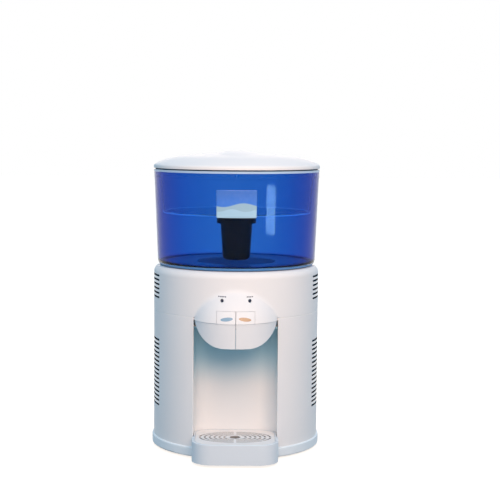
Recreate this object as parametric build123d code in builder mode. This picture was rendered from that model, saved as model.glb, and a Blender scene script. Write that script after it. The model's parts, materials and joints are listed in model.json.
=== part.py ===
from build123d import *
import math
import os

# A bench-top hot and cold water filter dispenser, in millimetres.
# The origin is on the counter under the axis of the round body, the front is -Y and up is +Z.

# Body shell
BODY_RADIUS = 134.0
WALL = 2.5
LOWER_HEIGHT = 204.8
UPPER_HEIGHT = 72.2
SHOULDER_RADIUS = 11.0
SEAM_LIP = 4.0
SEAM_BEVEL = 0.6
FIT = 0.3

# Base
FOOT_HEIGHT = 3.0
FOOT_INSET = 14.6
FOOT_WIDTH = 14.0
FOOT_GROOVE = 1.0
PLINTH_LIP = 2.6
PLINTH_HEIGHT = 15.0
PLINTH_WALL = 3.0
PLINTH_ROUND = 2.2
BASE_FLOOR = 3.5

# Screws that hold the lower housing on the base
SCREW_INSET = 13.0
SCREW_RADIUS = 1.9
SCREW_HEAD_RADIUS = 3.6
SCREW_HEAD_HEIGHT = 2.2
SCREW_LENGTH = 16.0
SCREW_ANGLES = (-155.0, -25.0, 30.0, 150.0)
SCREW_CLEARANCE = 0.05
BOSS_RADIUS = 5.0
BOSS_HEIGHT = 40.0

# Vents in both sides
VENT_HEIGHT = 3.2
VENT_PITCH = 7.0
VENT_LENGTH = 44.0
VENT_RIB = 20.0
LOWER_VENT_FOOT = 53.8
LOWER_VENT_HEAD = 44.6
UPPER_VENT_FOOT = 22.9
UPPER_VENT_HEAD = 12.7

# Cup niche
NICHE_HALF = 65.5
NICHE_DEPTH = 62.0
NICHE_CORNER = 26.0
NICHE_ROUND = 1.0
CEILING_DROP = 16.8
CHEEK_SETBACK = 2.0

# Nose over the niche: an upright drum with a domed top
NOSE_FLARE = 2.4
NOSE_REACH = 32.0
CREASE_DROP = 3.3
DOME_MID_INSET = 12.5
DOME_MID_RISE = 26.5
DOME_TOP_INSET = 37.0
DOME_TOP_RISE = 48.5
NOSE_BLEND = 10.0

# Buttons
BUTTON_HALF = 29.0
BUTTON_RISE = 18.2
BUTTON_GAP = 0.8
BUTTON_SEAM = 0.35
APRON_INSET = 1.0
APRON_HEIGHT = 38.5
APRON_CORNER = 46.0
APRON_SIDE_GAP = 1.1
AXLE_RADIUS = 2.0
AXLE_CLEARANCE = 0.05
AXLE_SETBACK = 66.0
AXLE_RISE = 12.5
BARREL_RADIUS = 5.0
ARM_WIDTH = 14.0
ARM_HEIGHT = 5.4
POST_THICKNESS = 4.0
POST_DEPTH = 14.0
BADGE_LENGTH = 19.0
BADGE_HEIGHT = 5.6
BADGE_THICKNESS = 0.6
BADGE_CLEARANCE = 0.05
BADGE_X = 14.0
BADGE_RISE = 6.9
BADGE_TILT = 7.0

# Taps
TAP_X = 17.0
TAP_SETBACK = 12.0
TAP_FLANGE_WIDTH = 4.0
TAP_FLANGE_HEIGHT = 3.0
TAP_NECK_RADIUS = 8.0
TAP_BODY_WIDTH = 3.0
TAP_BODY_HEIGHT = 12.0
TAP_CHAMBER_RADIUS = 7.0
TAP_PORT_RISE = 7.5
NOZZLE_LENGTH = 16.0
NOZZLE_WALL = 2.5
NOZZLE_TIP_WALL = 1.2
NOZZLE_BORE = 4.0
PLUG_CLEARANCE = 0.6
PLUG_LENGTH = 4.0
STEM_RADIUS = 2.2
STEM_CLEARANCE = 0.4
HEAD_WIDTH = 3.3
HEAD_HEIGHT = 2.0
PRESS_GAP = 0.3
SPRING_WIRE = 0.8
SPRING_GAP = 1.4
SPRING_TURNS = 3.0

# Indicator lights
LIGHT_X = 21.3
LIGHT_RISE = 33.3
LIGHT_RADIUS = 2.4
LIGHT_CLEARANCE = 0.2
BOARD_THICKNESS = 1.6
BOARD_MARGIN = 7.7
BOARD_HEIGHT = 18.0
BOARD_SETBACK = 8.0

# Drip tray
TRAY_REACH = 44.0
TRAY_FLARE = 1.5
TRAY_CORNER = 32.0
TRAY_ROUND = 1.2
TRAY_BOTTOM = 4.2
TRAY_HEIGHT = 31.8
TRAY_CLEARANCE = 0.8
TRAY_WALL = 2.4
TRAY_FLOOR = 2.5
TRAY_FLOOR_GAP = 0.3
LEDGE_SIZE = 4.0
LEDGE_LENGTH = 14.0
LEDGE_SPACING = 42.0
GRILLE_THICKNESS = 3.0
GRILLE_CLEARANCE = 0.4
GRILLE_SIDE_MARGIN = 5.8
GRILLE_END_MARGIN = 13.6
GRILLE_RINGS = 6
GRILLE_SLOT = 2.8
GRILLE_BRIDGE = 4.0
DRAIN_HALF_WIDTH = 11.0
DRAIN_HALF_DEPTH = 12.0
DRAIN_RIM = 2.8

# Deck under the tank
DECK_LEDGE = 22.0
DECK_OVERLAP = 6.0
WELL_RADIUS = 69.5
WELL_DEPTH = 11.0
SOCKET_GAP = 1.4
SOCKET_WALL = 3.2
SOCKET_DEPTH = 19.0
SOCKET_FLANGE_WIDTH = 8.6

# Water tank
TANK_HEIGHT = 151.7
TANK_FLARE = 6.4
TANK_FOOT_INSET = 6.1
TANK_WALL = 3.0
TANK_FOOT_ROUND = 9.0
TANK_FLOOR_RISE = 2.5
FOOT_RING_WIDTH = 12.0
SUMP_CLEARANCE = 2.5
SUMP_GAP = 2.0
SPIGOT_RADIUS = 11.0
SPIGOT_WALL = 3.0
SPIGOT_LENGTH = 13.0
SPIGOT_FLANGE_WIDTH = 6.0
SPIGOT_CLEARANCE = 0.3
SEAL_WIRE = 1.1
SEAL_LIFT = 4.4

# Raw water chamber
CHAMBER_FLANGE = 3.4
CHAMBER_DEPTH = 66.7
COLLAR_DEPTH = 9.2
COLLAR_GAP = 0.7
COLLAR_STEP = 5.2
CHAMBER_WALL = 2.5
CHAMBER_DRAFT = 5.5
GUSSET_COUNT = 6
GUSSET_WIDTH = 3.0
GUSSET_HEIGHT = 8.0
GUSSET_START = 30.0

# Filter
FILTER_NECK_RADIUS = 14.5
FILTER_NECK_CLEARANCE = 0.4
FILTER_NECK_RISE = 12.0
FILTER_NECK_WALL = 4.5
GASKET_WIDTH = 12.5
GASKET_THICKNESS = 1.5
FILTER_HEAD_RADIUS = 32.0
FILTER_HEAD_HEIGHT = 16.0
CUP_INSET = 6.0
CUP_TAPER = 4.0
CUP_CLEARANCE = 2.0
CUP_ROUND = 8.0
NUT_WALL = 9.5
NUT_HEIGHT = 9.0
NUT_CLEARANCE = 0.3
NUT_LOBES = 8
NUT_LOBE_RADIUS = 3.0

# Lid
LID_GAP = 1.9
LID_STEP = 3.2
LID_OVERHANG = 0.3
LID_RIM = 5.3
LID_RIM_ROUND = 4.0
LID_EDGE_ROUND = 0.8
LID_SHOULDER = 42.6
LID_SHOULDER_RISE = 13.9
LID_CROWN = 5.8
LID_WALL = 2.5
LID_BULGE = 2.0
SKIRT_DEPTH = 3.0
SKIRT_CLEARANCE = 1.0
GRIP_HALF_WIDTH = 29.0
GRIP_END = 6.0
GRIP_CROWN = 9.2
GRIP_ARCH = 3.0
GRIP_ROUND = 0.8

# Sheet of the cold and hot tanks
TANK_SHEET = 1.5
TANK_ROUND = 8.0
TANK_SPACING = 10.0
TANK_CLEARANCE = 0.05

# Cold side, stacked inwards from the left vents
FAN_INSET = 11.5
FAN_SIZE = 60.0
FAN_DEPTH = 12.0
FAN_RING = 2.5
FAN_SPOKE = 2.0
FAN_HUB = 11.0
FAN_TIP_GAP = 1.2
FAN_PIN = 1.5
FAN_BLADES = 7
BLADE_THICKNESS = 1.4
BLADE_MARGIN = 0.8
BLADE_ROOT_PITCH = 50.0
BLADE_TIP_PITCH = 68.0
SINK_BASE = 5.0
FIN_HEIGHT = 17.0
FIN_THICKNESS = 1.4
FIN_COUNT = 10
MODULE_THICKNESS = 4.0
BLOCK_SIZE = 40.0
BLOCK_PROUD = 2.0
JACKET_THICKNESS = 12.0
JACKET_GAP = 0.3
COLD_LIFT = 53.5
COLD_DROP = 46.0

# Hot side
HOT_INSET = 20.5
HOT_Y = 5.0
HOT_DROP = 36.0
STAND_HEIGHT = 57.5
STAND_INSET = 12.0
STAND_WALL = 1.5
STAND_FOOT = 8.0
HEATER_THICKNESS = 3.0
HEATER_HEIGHT = 30.0
HEATER_RISE = 14.0
THERMOSTAT_RADIUS = 8.0
THERMOSTAT_DEPTH = 7.0
THERMOSTAT_SPACING = 24.0

# Hoses
HOSE_WALL = 1.2
HOSE_CLEARANCE = 0.3
NIPPLE_RADIUS = 3.0
NIPPLE_WALL = 0.8
NIPPLE_LENGTH = 10.0
HOSE_BEND = 18.0
FEED_LIFT = 10.0
COLD_FEED_OFFSET = 16.0
COLD_TAP_OFFSET = 20.0
HOT_TAP_OFFSET = 14.0
HOT_TURN = 60.0

# Power board
POWER_BOARD_INSET = 58.0
POWER_BOARD_X = 20.0
POWER_BOARD_WIDTH = 90.0
POWER_BOARD_HEIGHT = 60.0
GUIDE_HEIGHT = 14.0
GUIDE_SIZE = 6.0
GUIDE_GAP = 0.2
TRANSFORMER_SIZE = 30.0
TRANSFORMER_DEPTH = 22.0
TRANSFORMER_X = 22.0
CAPACITOR_RADIUS = 8.0
CAPACITOR_LENGTH = 20.0
CAPACITOR_X = -28.0
CAPACITOR_SPACING = 24.0

# Rear panel with the power inlet and the switches
PANEL_LIFT = 25.0
PANEL_MARGIN = 9.3
PANEL_SIDE = 15.5
PANEL_RECESS = 14.0
INLET_WIDTH = 27.0
INLET_HEIGHT = 20.0
INLET_DEPTH = 20.0
INLET_FLANGE = 3.0
PIN_LENGTH = 12.0
PIN_WIDTH = 2.0
PIN_HEIGHT = 4.0
PIN_SPACING = 6.8
SWITCH_WIDTH = 13.0
SWITCH_HEIGHT = 19.0
SWITCH_DEPTH = 12.0
SWITCH_X = 14.0
ROCKER_GAP = 0.5
ROCKER_END_GAP = 1.0
ROCKER_PROUD = 2.0
ROCKER_BACK = 5.8
ROCKER_TILT = 8.0
PIVOT_RADIUS = 1.2
PIVOT_CLEARANCE = 0.05
PIVOT_DEPTH = 1.0

# Heights, from the counter up
BASE_TOP = FOOT_HEIGHT + BASE_FLOOR
PLINTH_TOP = FOOT_HEIGHT + PLINTH_HEIGHT
SEAM_HEIGHT = PLINTH_TOP + LOWER_HEIGHT
DECK_HEIGHT = SEAM_HEIGHT + UPPER_HEIGHT
ANNULUS_BOTTOM = DECK_HEIGHT - WALL
TANK_TOP = DECK_HEIGHT + TANK_HEIGHT
CHAMBER_TOP = TANK_TOP + CHAMBER_FLANGE
LID_BOTTOM = CHAMBER_TOP + LID_GAP
NICHE_TOP = SEAM_HEIGHT - CEILING_DROP
CEILING_TOP = NICHE_TOP + WALL
CREASE_HEIGHT = SEAM_HEIGHT - CREASE_DROP
BUTTON_TOP = CREASE_HEIGHT + BUTTON_RISE
APRON_BOTTOM = CREASE_HEIGHT - APRON_HEIGHT
AXLE_HEIGHT = CREASE_HEIGHT + AXLE_RISE
BADGE_Z = CREASE_HEIGHT + BADGE_RISE
LIGHT_HEIGHT = CREASE_HEIGHT + LIGHT_RISE
LOWER_VENT_BOTTOM = PLINTH_TOP + LOWER_VENT_FOOT
LOWER_VENT_ROWS = int((SEAM_HEIGHT - LOWER_VENT_HEAD - LOWER_VENT_BOTTOM) / VENT_PITCH) + 1
UPPER_VENT_BOTTOM = SEAM_HEIGHT + UPPER_VENT_FOOT
UPPER_VENT_ROWS = int((DECK_HEIGHT - UPPER_VENT_HEAD - UPPER_VENT_BOTTOM) / VENT_PITCH) + 1

# Body, base and niche
PLINTH_RADIUS = BODY_RADIUS + PLINTH_LIP
INNER_RADIUS = BODY_RADIUS - WALL
LIP_OUTER = INNER_RADIUS - FIT
LIP_INNER = LIP_OUTER - WALL
FOOT_OUTER = PLINTH_RADIUS - FOOT_INSET
FOOT_INNER = FOOT_OUTER - FOOT_WIDTH
SCREW_CIRCLE = BODY_RADIUS - SCREW_INSET
NICHE_BACK = NICHE_DEPTH - BODY_RADIUS
PANEL_HALF = NICHE_HALF + WALL
DECK_OPENING = BODY_RADIUS - DECK_LEDGE
DECK_FLANGE = DECK_OPENING + DECK_OVERLAP
DECK_BOTTOM = ANNULUS_BOTTOM - WALL

# Nose, buttons and taps
NOSE_RADIUS = NICHE_HALF + NOSE_FLARE
NOSE_FRONT = -BODY_RADIUS - NOSE_REACH
NOSE_Y = NOSE_FRONT + NOSE_RADIUS
NOSE_AXIS = Axis((0, NOSE_Y, 0), (0, 0, 1))
AXLE_Y = NOSE_FRONT + AXLE_SETBACK
CHEEK_BACK = AXLE_Y + CHEEK_SETBACK
TAP_Y = TAP_SETBACK - BODY_RADIUS
TAP_FLANGE_RADIUS = TAP_NECK_RADIUS + TAP_FLANGE_WIDTH
TAP_BODY_RADIUS = TAP_NECK_RADIUS + TAP_BODY_WIDTH
TAP_TOP = CEILING_TOP + TAP_BODY_HEIGHT
TAP_HOSE_HEIGHT = CEILING_TOP + TAP_PORT_RISE
NOZZLE_TOP = NICHE_TOP - TAP_FLANGE_HEIGHT
HEAD_RADIUS = STEM_RADIUS + HEAD_WIDTH
ARM_BOTTOM = AXLE_HEIGHT - ARM_HEIGHT / 2
HEAD_TOP = ARM_BOTTOM - PRESS_GAP
HEAD_BOTTOM = HEAD_TOP - HEAD_HEIGHT
SPRING_RADIUS = STEM_RADIUS + SPRING_WIRE / 2 + SPRING_GAP
LIGHT_BOARD_Y = BOARD_SETBACK - BODY_RADIUS
BOARD_WIDTH = 2 * (LIGHT_X + BOARD_MARGIN)

# Drip tray and grille
TRAY_FRONT = -BODY_RADIUS - TRAY_REACH
TRAY_HALF = NICHE_HALF + TRAY_FLARE
TRAY_TOP = TRAY_BOTTOM + TRAY_HEIGHT
TONGUE_HALF = NICHE_HALF - TRAY_CLEARANCE
TONGUE_BACK = NICHE_BACK - TRAY_CLEARANCE
TONGUE_BOTTOM = BASE_TOP + TRAY_FLOOR_GAP
POCKET_HALF = TONGUE_HALF - TRAY_WALL
POCKET_FRONT = TRAY_FRONT + TRAY_WALL
POCKET_BACK = TONGUE_BACK - TRAY_WALL
POCKET_BOTTOM = TONGUE_BOTTOM + TRAY_FLOOR
POCKET_MIDDLE = (POCKET_FRONT + POCKET_BACK) / 2
GRILLE_BOTTOM = TRAY_TOP - GRILLE_THICKNESS
GRILLE_HALF_WIDTH = POCKET_HALF - GRILLE_SIDE_MARGIN
GRILLE_HALF_DEPTH = (POCKET_BACK - POCKET_FRONT) / 2 - GRILLE_END_MARGIN

# Deck well, socket and tank
WELL_FLOOR = ANNULUS_BOTTOM - WELL_DEPTH
SOCKET_BORE = SPIGOT_RADIUS + SOCKET_GAP
SOCKET_OUTER = SOCKET_BORE + SOCKET_WALL
SOCKET_FLANGE = SOCKET_BORE + SOCKET_FLANGE_WIDTH
SOCKET_TOP = WELL_FLOOR - WALL
SOCKET_BOTTOM = SOCKET_TOP - SOCKET_DEPTH
FEED_HEIGHT = SOCKET_BOTTOM + FEED_LIFT
TANK_FOOT_RADIUS = BODY_RADIUS - TANK_FOOT_INSET
TANK_TOP_RADIUS = TANK_FOOT_RADIUS + TANK_FLARE
TANK_TAPER = TANK_FLARE / TANK_HEIGHT
TANK_FLOOR = DECK_HEIGHT + TANK_FLOOR_RISE
TANK_FLOOR_TOP = TANK_FLOOR + TANK_WALL
SUMP_RADIUS = WELL_RADIUS - SUMP_CLEARANCE
SUMP_BOTTOM = WELL_FLOOR + SUMP_GAP
SUMP_FLOOR = SUMP_BOTTOM + TANK_WALL
SPIGOT_BOTTOM = SUMP_BOTTOM - SPIGOT_LENGTH
SPIGOT_FLANGE = SPIGOT_RADIUS + SPIGOT_FLANGE_WIDTH
SPIGOT_BORE = SPIGOT_RADIUS - SPIGOT_WALL
SEAL_HEIGHT = SPIGOT_BOTTOM + SEAL_LIFT

# Chamber, filter and lid
COLLAR_BOTTOM = TANK_TOP - COLLAR_DEPTH
COLLAR_RADIUS = TANK_TOP_RADIUS - TANK_TAPER * COLLAR_DEPTH - TANK_WALL - COLLAR_GAP
CHAMBER_RADIUS = COLLAR_RADIUS - COLLAR_STEP
CHAMBER_INSIDE = CHAMBER_RADIUS - CHAMBER_WALL
CHAMBER_FLOOR = TANK_TOP - CHAMBER_DEPTH
CHAMBER_FLOOR_RADIUS = CHAMBER_RADIUS - CHAMBER_DRAFT
NECK_HOLE = FILTER_NECK_RADIUS + FILTER_NECK_CLEARANCE
NUT_BOTTOM = CHAMBER_FLOOR + CHAMBER_WALL
GASKET_RADIUS = FILTER_NECK_RADIUS + GASKET_WIDTH
NUT_RADIUS = FILTER_NECK_RADIUS + NUT_WALL
FILTER_HEAD_TOP = CHAMBER_FLOOR - GASKET_THICKNESS
FILTER_HEAD_BOTTOM = FILTER_HEAD_TOP - FILTER_HEAD_HEIGHT
FILTER_NECK_TOP = NUT_BOTTOM + FILTER_NECK_RISE
FILTER_NECK_BORE = FILTER_NECK_RADIUS - FILTER_NECK_WALL
CUP_BOTTOM = TANK_FLOOR_TOP + CUP_CLEARANCE
CUP_TOP_RADIUS = FILTER_HEAD_RADIUS - CUP_INSET
CUP_BOTTOM_RADIUS = CUP_TOP_RADIUS - CUP_TAPER
LID_RADIUS = TANK_TOP_RADIUS + LID_OVERHANG
LID_SEAT = LID_RADIUS - LID_STEP
LID_SHOULDER_FOOT = LID_BOTTOM + LID_RIM
LID_CREASE = LID_SHOULDER_FOOT + LID_SHOULDER_RISE
LID_CREASE_RADIUS = LID_RADIUS - LID_SHOULDER
SKIRT_RADIUS = CHAMBER_INSIDE - SKIRT_CLEARANCE
GRIP_HALF_LENGTH = LID_CREASE_RADIUS - GRIP_END
GRIP_PEAK = LID_CREASE + GRIP_CROWN

# Cold and hot sides share the room that the cooling stack leaves across the body
FAN_BACK = FAN_INSET - INNER_RADIUS
FAN_X = FAN_BACK + FAN_DEPTH
FAN_BORE = FAN_SIZE / 2 - FAN_RING
FIN_X = FAN_X + FIN_HEIGHT
SINK_X = FIN_X + SINK_BASE
STACK_X = SINK_X + MODULE_THICKNESS
JACKET_X = STACK_X + BLOCK_PROUD
HOT_EDGE = INNER_RADIUS - HOT_INSET - HEATER_THICKNESS
TANK_ROOM = HOT_EDGE - JACKET_X - 2 * JACKET_THICKNESS - TANK_SPACING
COLD_RADIUS = TANK_ROOM / 4
HOT_RADIUS = TANK_ROOM / 4
COLD_X = JACKET_X + JACKET_THICKNESS + COLD_RADIUS
COLD_BOTTOM = BASE_TOP + COLD_LIFT
COLD_TOP = NICHE_TOP - COLD_DROP
JACKET_RADIUS = COLD_RADIUS + JACKET_THICKNESS
JACKET_TOP = COLD_TOP + JACKET_THICKNESS
STACK_HEIGHT = (COLD_BOTTOM + COLD_TOP) / 2
COLD_FEED_X = COLD_X - COLD_FEED_OFFSET
COLD_TAP_Y = -COLD_TAP_OFFSET
HOT_X = HOT_EDGE - HOT_RADIUS
HOT_BOTTOM = BASE_TOP + STAND_HEIGHT
HOT_TOP = NICHE_TOP - HOT_DROP
HOT_TAP_X = HOT_X - HOT_TAP_OFFSET
HOT_TAP_Y = HOT_Y - HOT_TAP_OFFSET
STAND_RADIUS = HOT_RADIUS - STAND_INSET
HOSE_BORE = NIPPLE_RADIUS + HOSE_CLEARANCE
HOSE_RADIUS = HOSE_BORE + HOSE_WALL
NIPPLE_BORE = NIPPLE_RADIUS - NIPPLE_WALL

# Power board and rear panel
POWER_BOARD_Y = BODY_RADIUS - POWER_BOARD_INSET
PANEL_Y = INNER_RADIUS - PANEL_RECESS
PANEL_FACE = PANEL_Y + WALL
INLET_FRAME = INLET_HEIGHT + 2 * INLET_FLANGE
SWITCH_FRAME = SWITCH_HEIGHT + 2 * WALL
PANEL_BOTTOM = PLINTH_TOP + PANEL_LIFT
PANEL_HEIGHT = INLET_FRAME + SWITCH_FRAME + 3 * PANEL_MARGIN
PANEL_WIDTH = INLET_WIDTH + 2 * INLET_FLANGE + 2 * PANEL_SIDE
PANEL_CENTRE = PANEL_BOTTOM + PANEL_HEIGHT / 2
INLET_Z = PANEL_BOTTOM + PANEL_MARGIN + INLET_FRAME / 2
SWITCH_Z = PANEL_BOTTOM + PANEL_HEIGHT - PANEL_MARGIN - SWITCH_FRAME / 2
SIDES = {"cold": -1, "hot": 1}

os.makedirs("parts", exist_ok=True)


def save(part, name):
    """Labels a finished piece and writes it to its own file."""
    part.label = name
    export_step(part, f"parts/{name}.step")


def turned(*points):
    """Turns a closed outline of (radius, height) points round the body's axis in the part in hand."""
    with BuildSketch(Plane.XZ) as profile:
        with BuildLine():
            Polyline(*points, close=True)
        make_face()
    revolve(profile.sketch, axis=Axis.Z)


def upright(x, y, radius, bottom, top, mode=Mode.ADD):
    """Adds or cuts an upright cylinder in the part in hand."""
    with BuildSketch(Plane.XY.offset(bottom)) as plan:
        with Locations((x, y)):
            Circle(radius)
    extrude(plan.sketch, amount=top - bottom, mode=mode)


def boiler(x, y, radius, bottom, top):
    """Adds a closed sheet-metal tank with rounded ends to the part in hand."""
    with BuildSketch(Plane(origin=(x, y, 0), x_dir=(1, 0, 0), z_dir=(0, -1, 0))) as profile:
        for inset, mode in ((0, Mode.ADD), (TANK_SHEET, Mode.SUBTRACT)):
            side, low, high = radius - inset, bottom + inset, top - inset
            with BuildLine() as outline:
                FilletPolyline((0, low), (side, low), (side, high), (0, high), radius=TANK_ROUND - inset)
                Line((0, high), (0, low))
            make_face(outline.edges(), mode=mode)
    revolve(profile.sketch, axis=Axis((x, y, 0), (0, 0, 1)))


def screw_place(angle):
    """The plan position of a base screw."""
    return SCREW_CIRCLE * math.cos(math.radians(angle)), SCREW_CIRCLE * math.sin(math.radians(angle))


def niche_outline(half, back, corner, mode=Mode.ADD):
    """Draws the niche's plan, open past the front, in the sketch in hand."""
    front = -2 * BODY_RADIUS
    with BuildLine() as outline:
        FilletPolyline((-half, front), (-half, back), (half, back), (half, front), radius=corner)
        Line((half, front), (-half, front))
    make_face(outline.edges(), mode=mode)


def nose_form(inset):
    """The nose's domed drum above the crease, drawn in by an inset."""
    with BuildPart() as form:
        with BuildSketch(Plane.XZ.offset(-NOSE_Y)):
            with BuildLine():
                foot = (NOSE_RADIUS - inset, CREASE_HEIGHT)
                middle = (foot[0] - DOME_MID_INSET, CREASE_HEIGHT + DOME_MID_RISE - inset / 2)
                top = (foot[0] - DOME_TOP_INSET, CREASE_HEIGHT + DOME_TOP_RISE - inset)
                ThreePointArc(foot, middle, top)
                Polyline(top, (0, top[1]), (0, foot[1]), foot)
            make_face()
        revolve(axis=NOSE_AXIS)
    return form.part


NOSE_OUTSIDE = nose_form(0)
NOSE_INSIDE = nose_form(WALL)
NOSE_MIDDLE = nose_form(WALL / 2)
BADGE_BED = nose_form(BADGE_THICKNESS)


def cut_vents(lowest, rows):
    """Cuts rows of slots through both side walls of the housing in hand."""
    with BuildSketch(Plane.YZ) as slots:
        with Locations((0, lowest + (rows - 1) * VENT_PITCH / 2)):
            with GridLocations(VENT_LENGTH + VENT_RIB, VENT_PITCH, 2, rows):
                SlotOverall(VENT_LENGTH, VENT_HEIGHT)
    extrude(slots.sketch, amount=BODY_RADIUS, both=True, mode=Mode.SUBTRACT)


def cut_niche(half, radius, bottom, top):
    """Cuts the niche's width out of the front of a ring in the part in hand."""
    with BuildSketch(Plane.XY.offset(bottom)) as plan:
        with Locations((0, -BODY_RADIUS)):
            Rectangle(2 * half, BODY_RADIUS)
        Circle(radius, mode=Mode.INTERSECT)
    extrude(plan.sketch, amount=top - bottom, mode=Mode.SUBTRACT)


# Base plate: a flat dish with a seat for the housing and a gap for the tray
with BuildPart() as base_plate:
    with BuildSketch(Plane.XZ) as base_profile:
        with BuildLine():
            Polyline(
                (0, FOOT_HEIGHT),
                (PLINTH_RADIUS, FOOT_HEIGHT),
                (PLINTH_RADIUS, PLINTH_TOP),
                (LIP_OUTER, PLINTH_TOP),
                (LIP_OUTER, PLINTH_TOP + SEAM_LIP),
                (LIP_INNER, PLINTH_TOP + SEAM_LIP),
                (LIP_INNER, PLINTH_TOP - PLINTH_WALL),
                (PLINTH_RADIUS - PLINTH_WALL, PLINTH_TOP - PLINTH_WALL),
                (PLINTH_RADIUS - PLINTH_WALL, BASE_TOP),
                (0, BASE_TOP),
                close=True,
            )
        make_face()
        fillet(base_profile.vertices().group_by(Axis.X)[-1], PLINTH_ROUND)
    revolve(axis=Axis.Z)
    cut_niche(NICHE_HALF, 2 * BODY_RADIUS, BASE_TOP, DECK_HEIGHT)
    cut_niche(PANEL_HALF + FIT, INNER_RADIUS, BASE_TOP, DECK_HEIGHT)
    with BuildSketch(Plane.XY.offset(FOOT_HEIGHT)):
        Circle(FOOT_OUTER + FIT)
        Circle(FOOT_INNER - FIT, mode=Mode.SUBTRACT)
    extrude(amount=FOOT_GROOVE, mode=Mode.SUBTRACT)
    for angle in SCREW_ANGLES:
        x, y = screw_place(angle)
        upright(x, y, SCREW_RADIUS + FIT, 0, BASE_TOP, mode=Mode.SUBTRACT)
        upright(x, y, SCREW_HEAD_RADIUS + FIT, 0, FOOT_HEIGHT + FOOT_GROOVE, mode=Mode.SUBTRACT)
    with BuildSketch(Plane.XY.offset(BASE_TOP)):
        with Locations((POWER_BOARD_X, POWER_BOARD_Y)):
            with GridLocations(POWER_BOARD_WIDTH, 0, 2, 1):
                Rectangle(GUIDE_SIZE, GUIDE_SIZE)
            Rectangle(POWER_BOARD_WIDTH + 2 * GUIDE_GAP, BOARD_THICKNESS + 2 * GUIDE_GAP, mode=Mode.SUBTRACT)
    extrude(amount=GUIDE_HEIGHT)
save(base_plate.part, "base_plate")

# Foot ring: one soft ring that the dispenser stands on
with BuildPart() as foot_ring:
    turned(
        (FOOT_INNER, 0),
        (FOOT_OUTER, 0),
        (FOOT_OUTER, FOOT_HEIGHT + FOOT_GROOVE),
        (FOOT_INNER, FOOT_HEIGHT + FOOT_GROOVE),
    )
    for angle in SCREW_ANGLES:
        x, y = screw_place(angle)
        upright(x, y, SCREW_HEAD_RADIUS + FIT, 0, FOOT_HEIGHT + FOOT_GROOVE, mode=Mode.SUBTRACT)
save(foot_ring.part, "foot_ring")

# Base screws: four pan-head screws up into the housing's bosses
with BuildPart() as base_screws:
    head_bottom = FOOT_HEIGHT + FOOT_GROOVE - SCREW_HEAD_HEIGHT
    for angle in SCREW_ANGLES:
        x, y = screw_place(angle)
        upright(x, y, SCREW_HEAD_RADIUS, head_bottom, head_bottom + SCREW_HEAD_HEIGHT)
        upright(x, y, SCREW_RADIUS, head_bottom, head_bottom + SCREW_LENGTH)
save(base_screws.part, "base_screws")

# Lower housing: a drum with the niche opening, the vents and the screw bosses
with BuildPart() as lower_housing:
    turned(
        (INNER_RADIUS, PLINTH_TOP),
        (BODY_RADIUS, PLINTH_TOP),
        (BODY_RADIUS, SEAM_HEIGHT - SEAM_BEVEL),
        (BODY_RADIUS - SEAM_BEVEL, SEAM_HEIGHT),
        (LIP_OUTER, SEAM_HEIGHT),
        (LIP_OUTER, SEAM_HEIGHT + SEAM_LIP),
        (LIP_INNER, SEAM_HEIGHT + SEAM_LIP),
        (LIP_INNER, SEAM_HEIGHT - SEAM_LIP),
        (INNER_RADIUS, SEAM_HEIGHT - SEAM_LIP - WALL),
    )
    for angle in SCREW_ANGLES:
        x, y = screw_place(angle)
        upright(x, y, BOSS_RADIUS, BASE_TOP, BASE_TOP + BOSS_HEIGHT)
        web = INNER_RADIUS + WALL / 2 - SCREW_CIRCLE
        with BuildSketch(Plane.XY.offset(PLINTH_TOP + SEAM_LIP + FIT)):
            with PolarLocations(SCREW_CIRCLE + web / 2, 1, start_angle=angle):
                Rectangle(web, WALL)
        extrude(amount=BASE_TOP + BOSS_HEIGHT - PLINTH_TOP - SEAM_LIP - FIT)
        upright(x, y, SCREW_RADIUS + SCREW_CLEARANCE, BASE_TOP, BASE_TOP + BOSS_HEIGHT, mode=Mode.SUBTRACT)
    cut_niche(NICHE_HALF, 2 * BODY_RADIUS, 0, DECK_HEIGHT)
    for side in SIDES.values():
        mouth = (side * NICHE_HALF, -math.sqrt(BODY_RADIUS**2 - NICHE_HALF**2), (PLINTH_TOP + SEAM_HEIGHT) / 2)
        fillet(lower_housing.edges().filter_by(Axis.Z).sort_by_distance(mouth)[0], NICHE_ROUND)
    cut_niche(PANEL_HALF + FIT, INNER_RADIUS, 0, DECK_HEIGHT)
    add(NOSE_OUTSIDE, mode=Mode.SUBTRACT)
    cut_vents(LOWER_VENT_BOTTOM, LOWER_VENT_ROWS)
    with BuildSketch(Plane.XZ):
        with Locations((0, PANEL_CENTRE)):
            Rectangle(PANEL_WIDTH, PANEL_HEIGHT)
    extrude(amount=-2 * BODY_RADIUS, mode=Mode.SUBTRACT)
save(lower_housing.part, "lower_housing")

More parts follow.
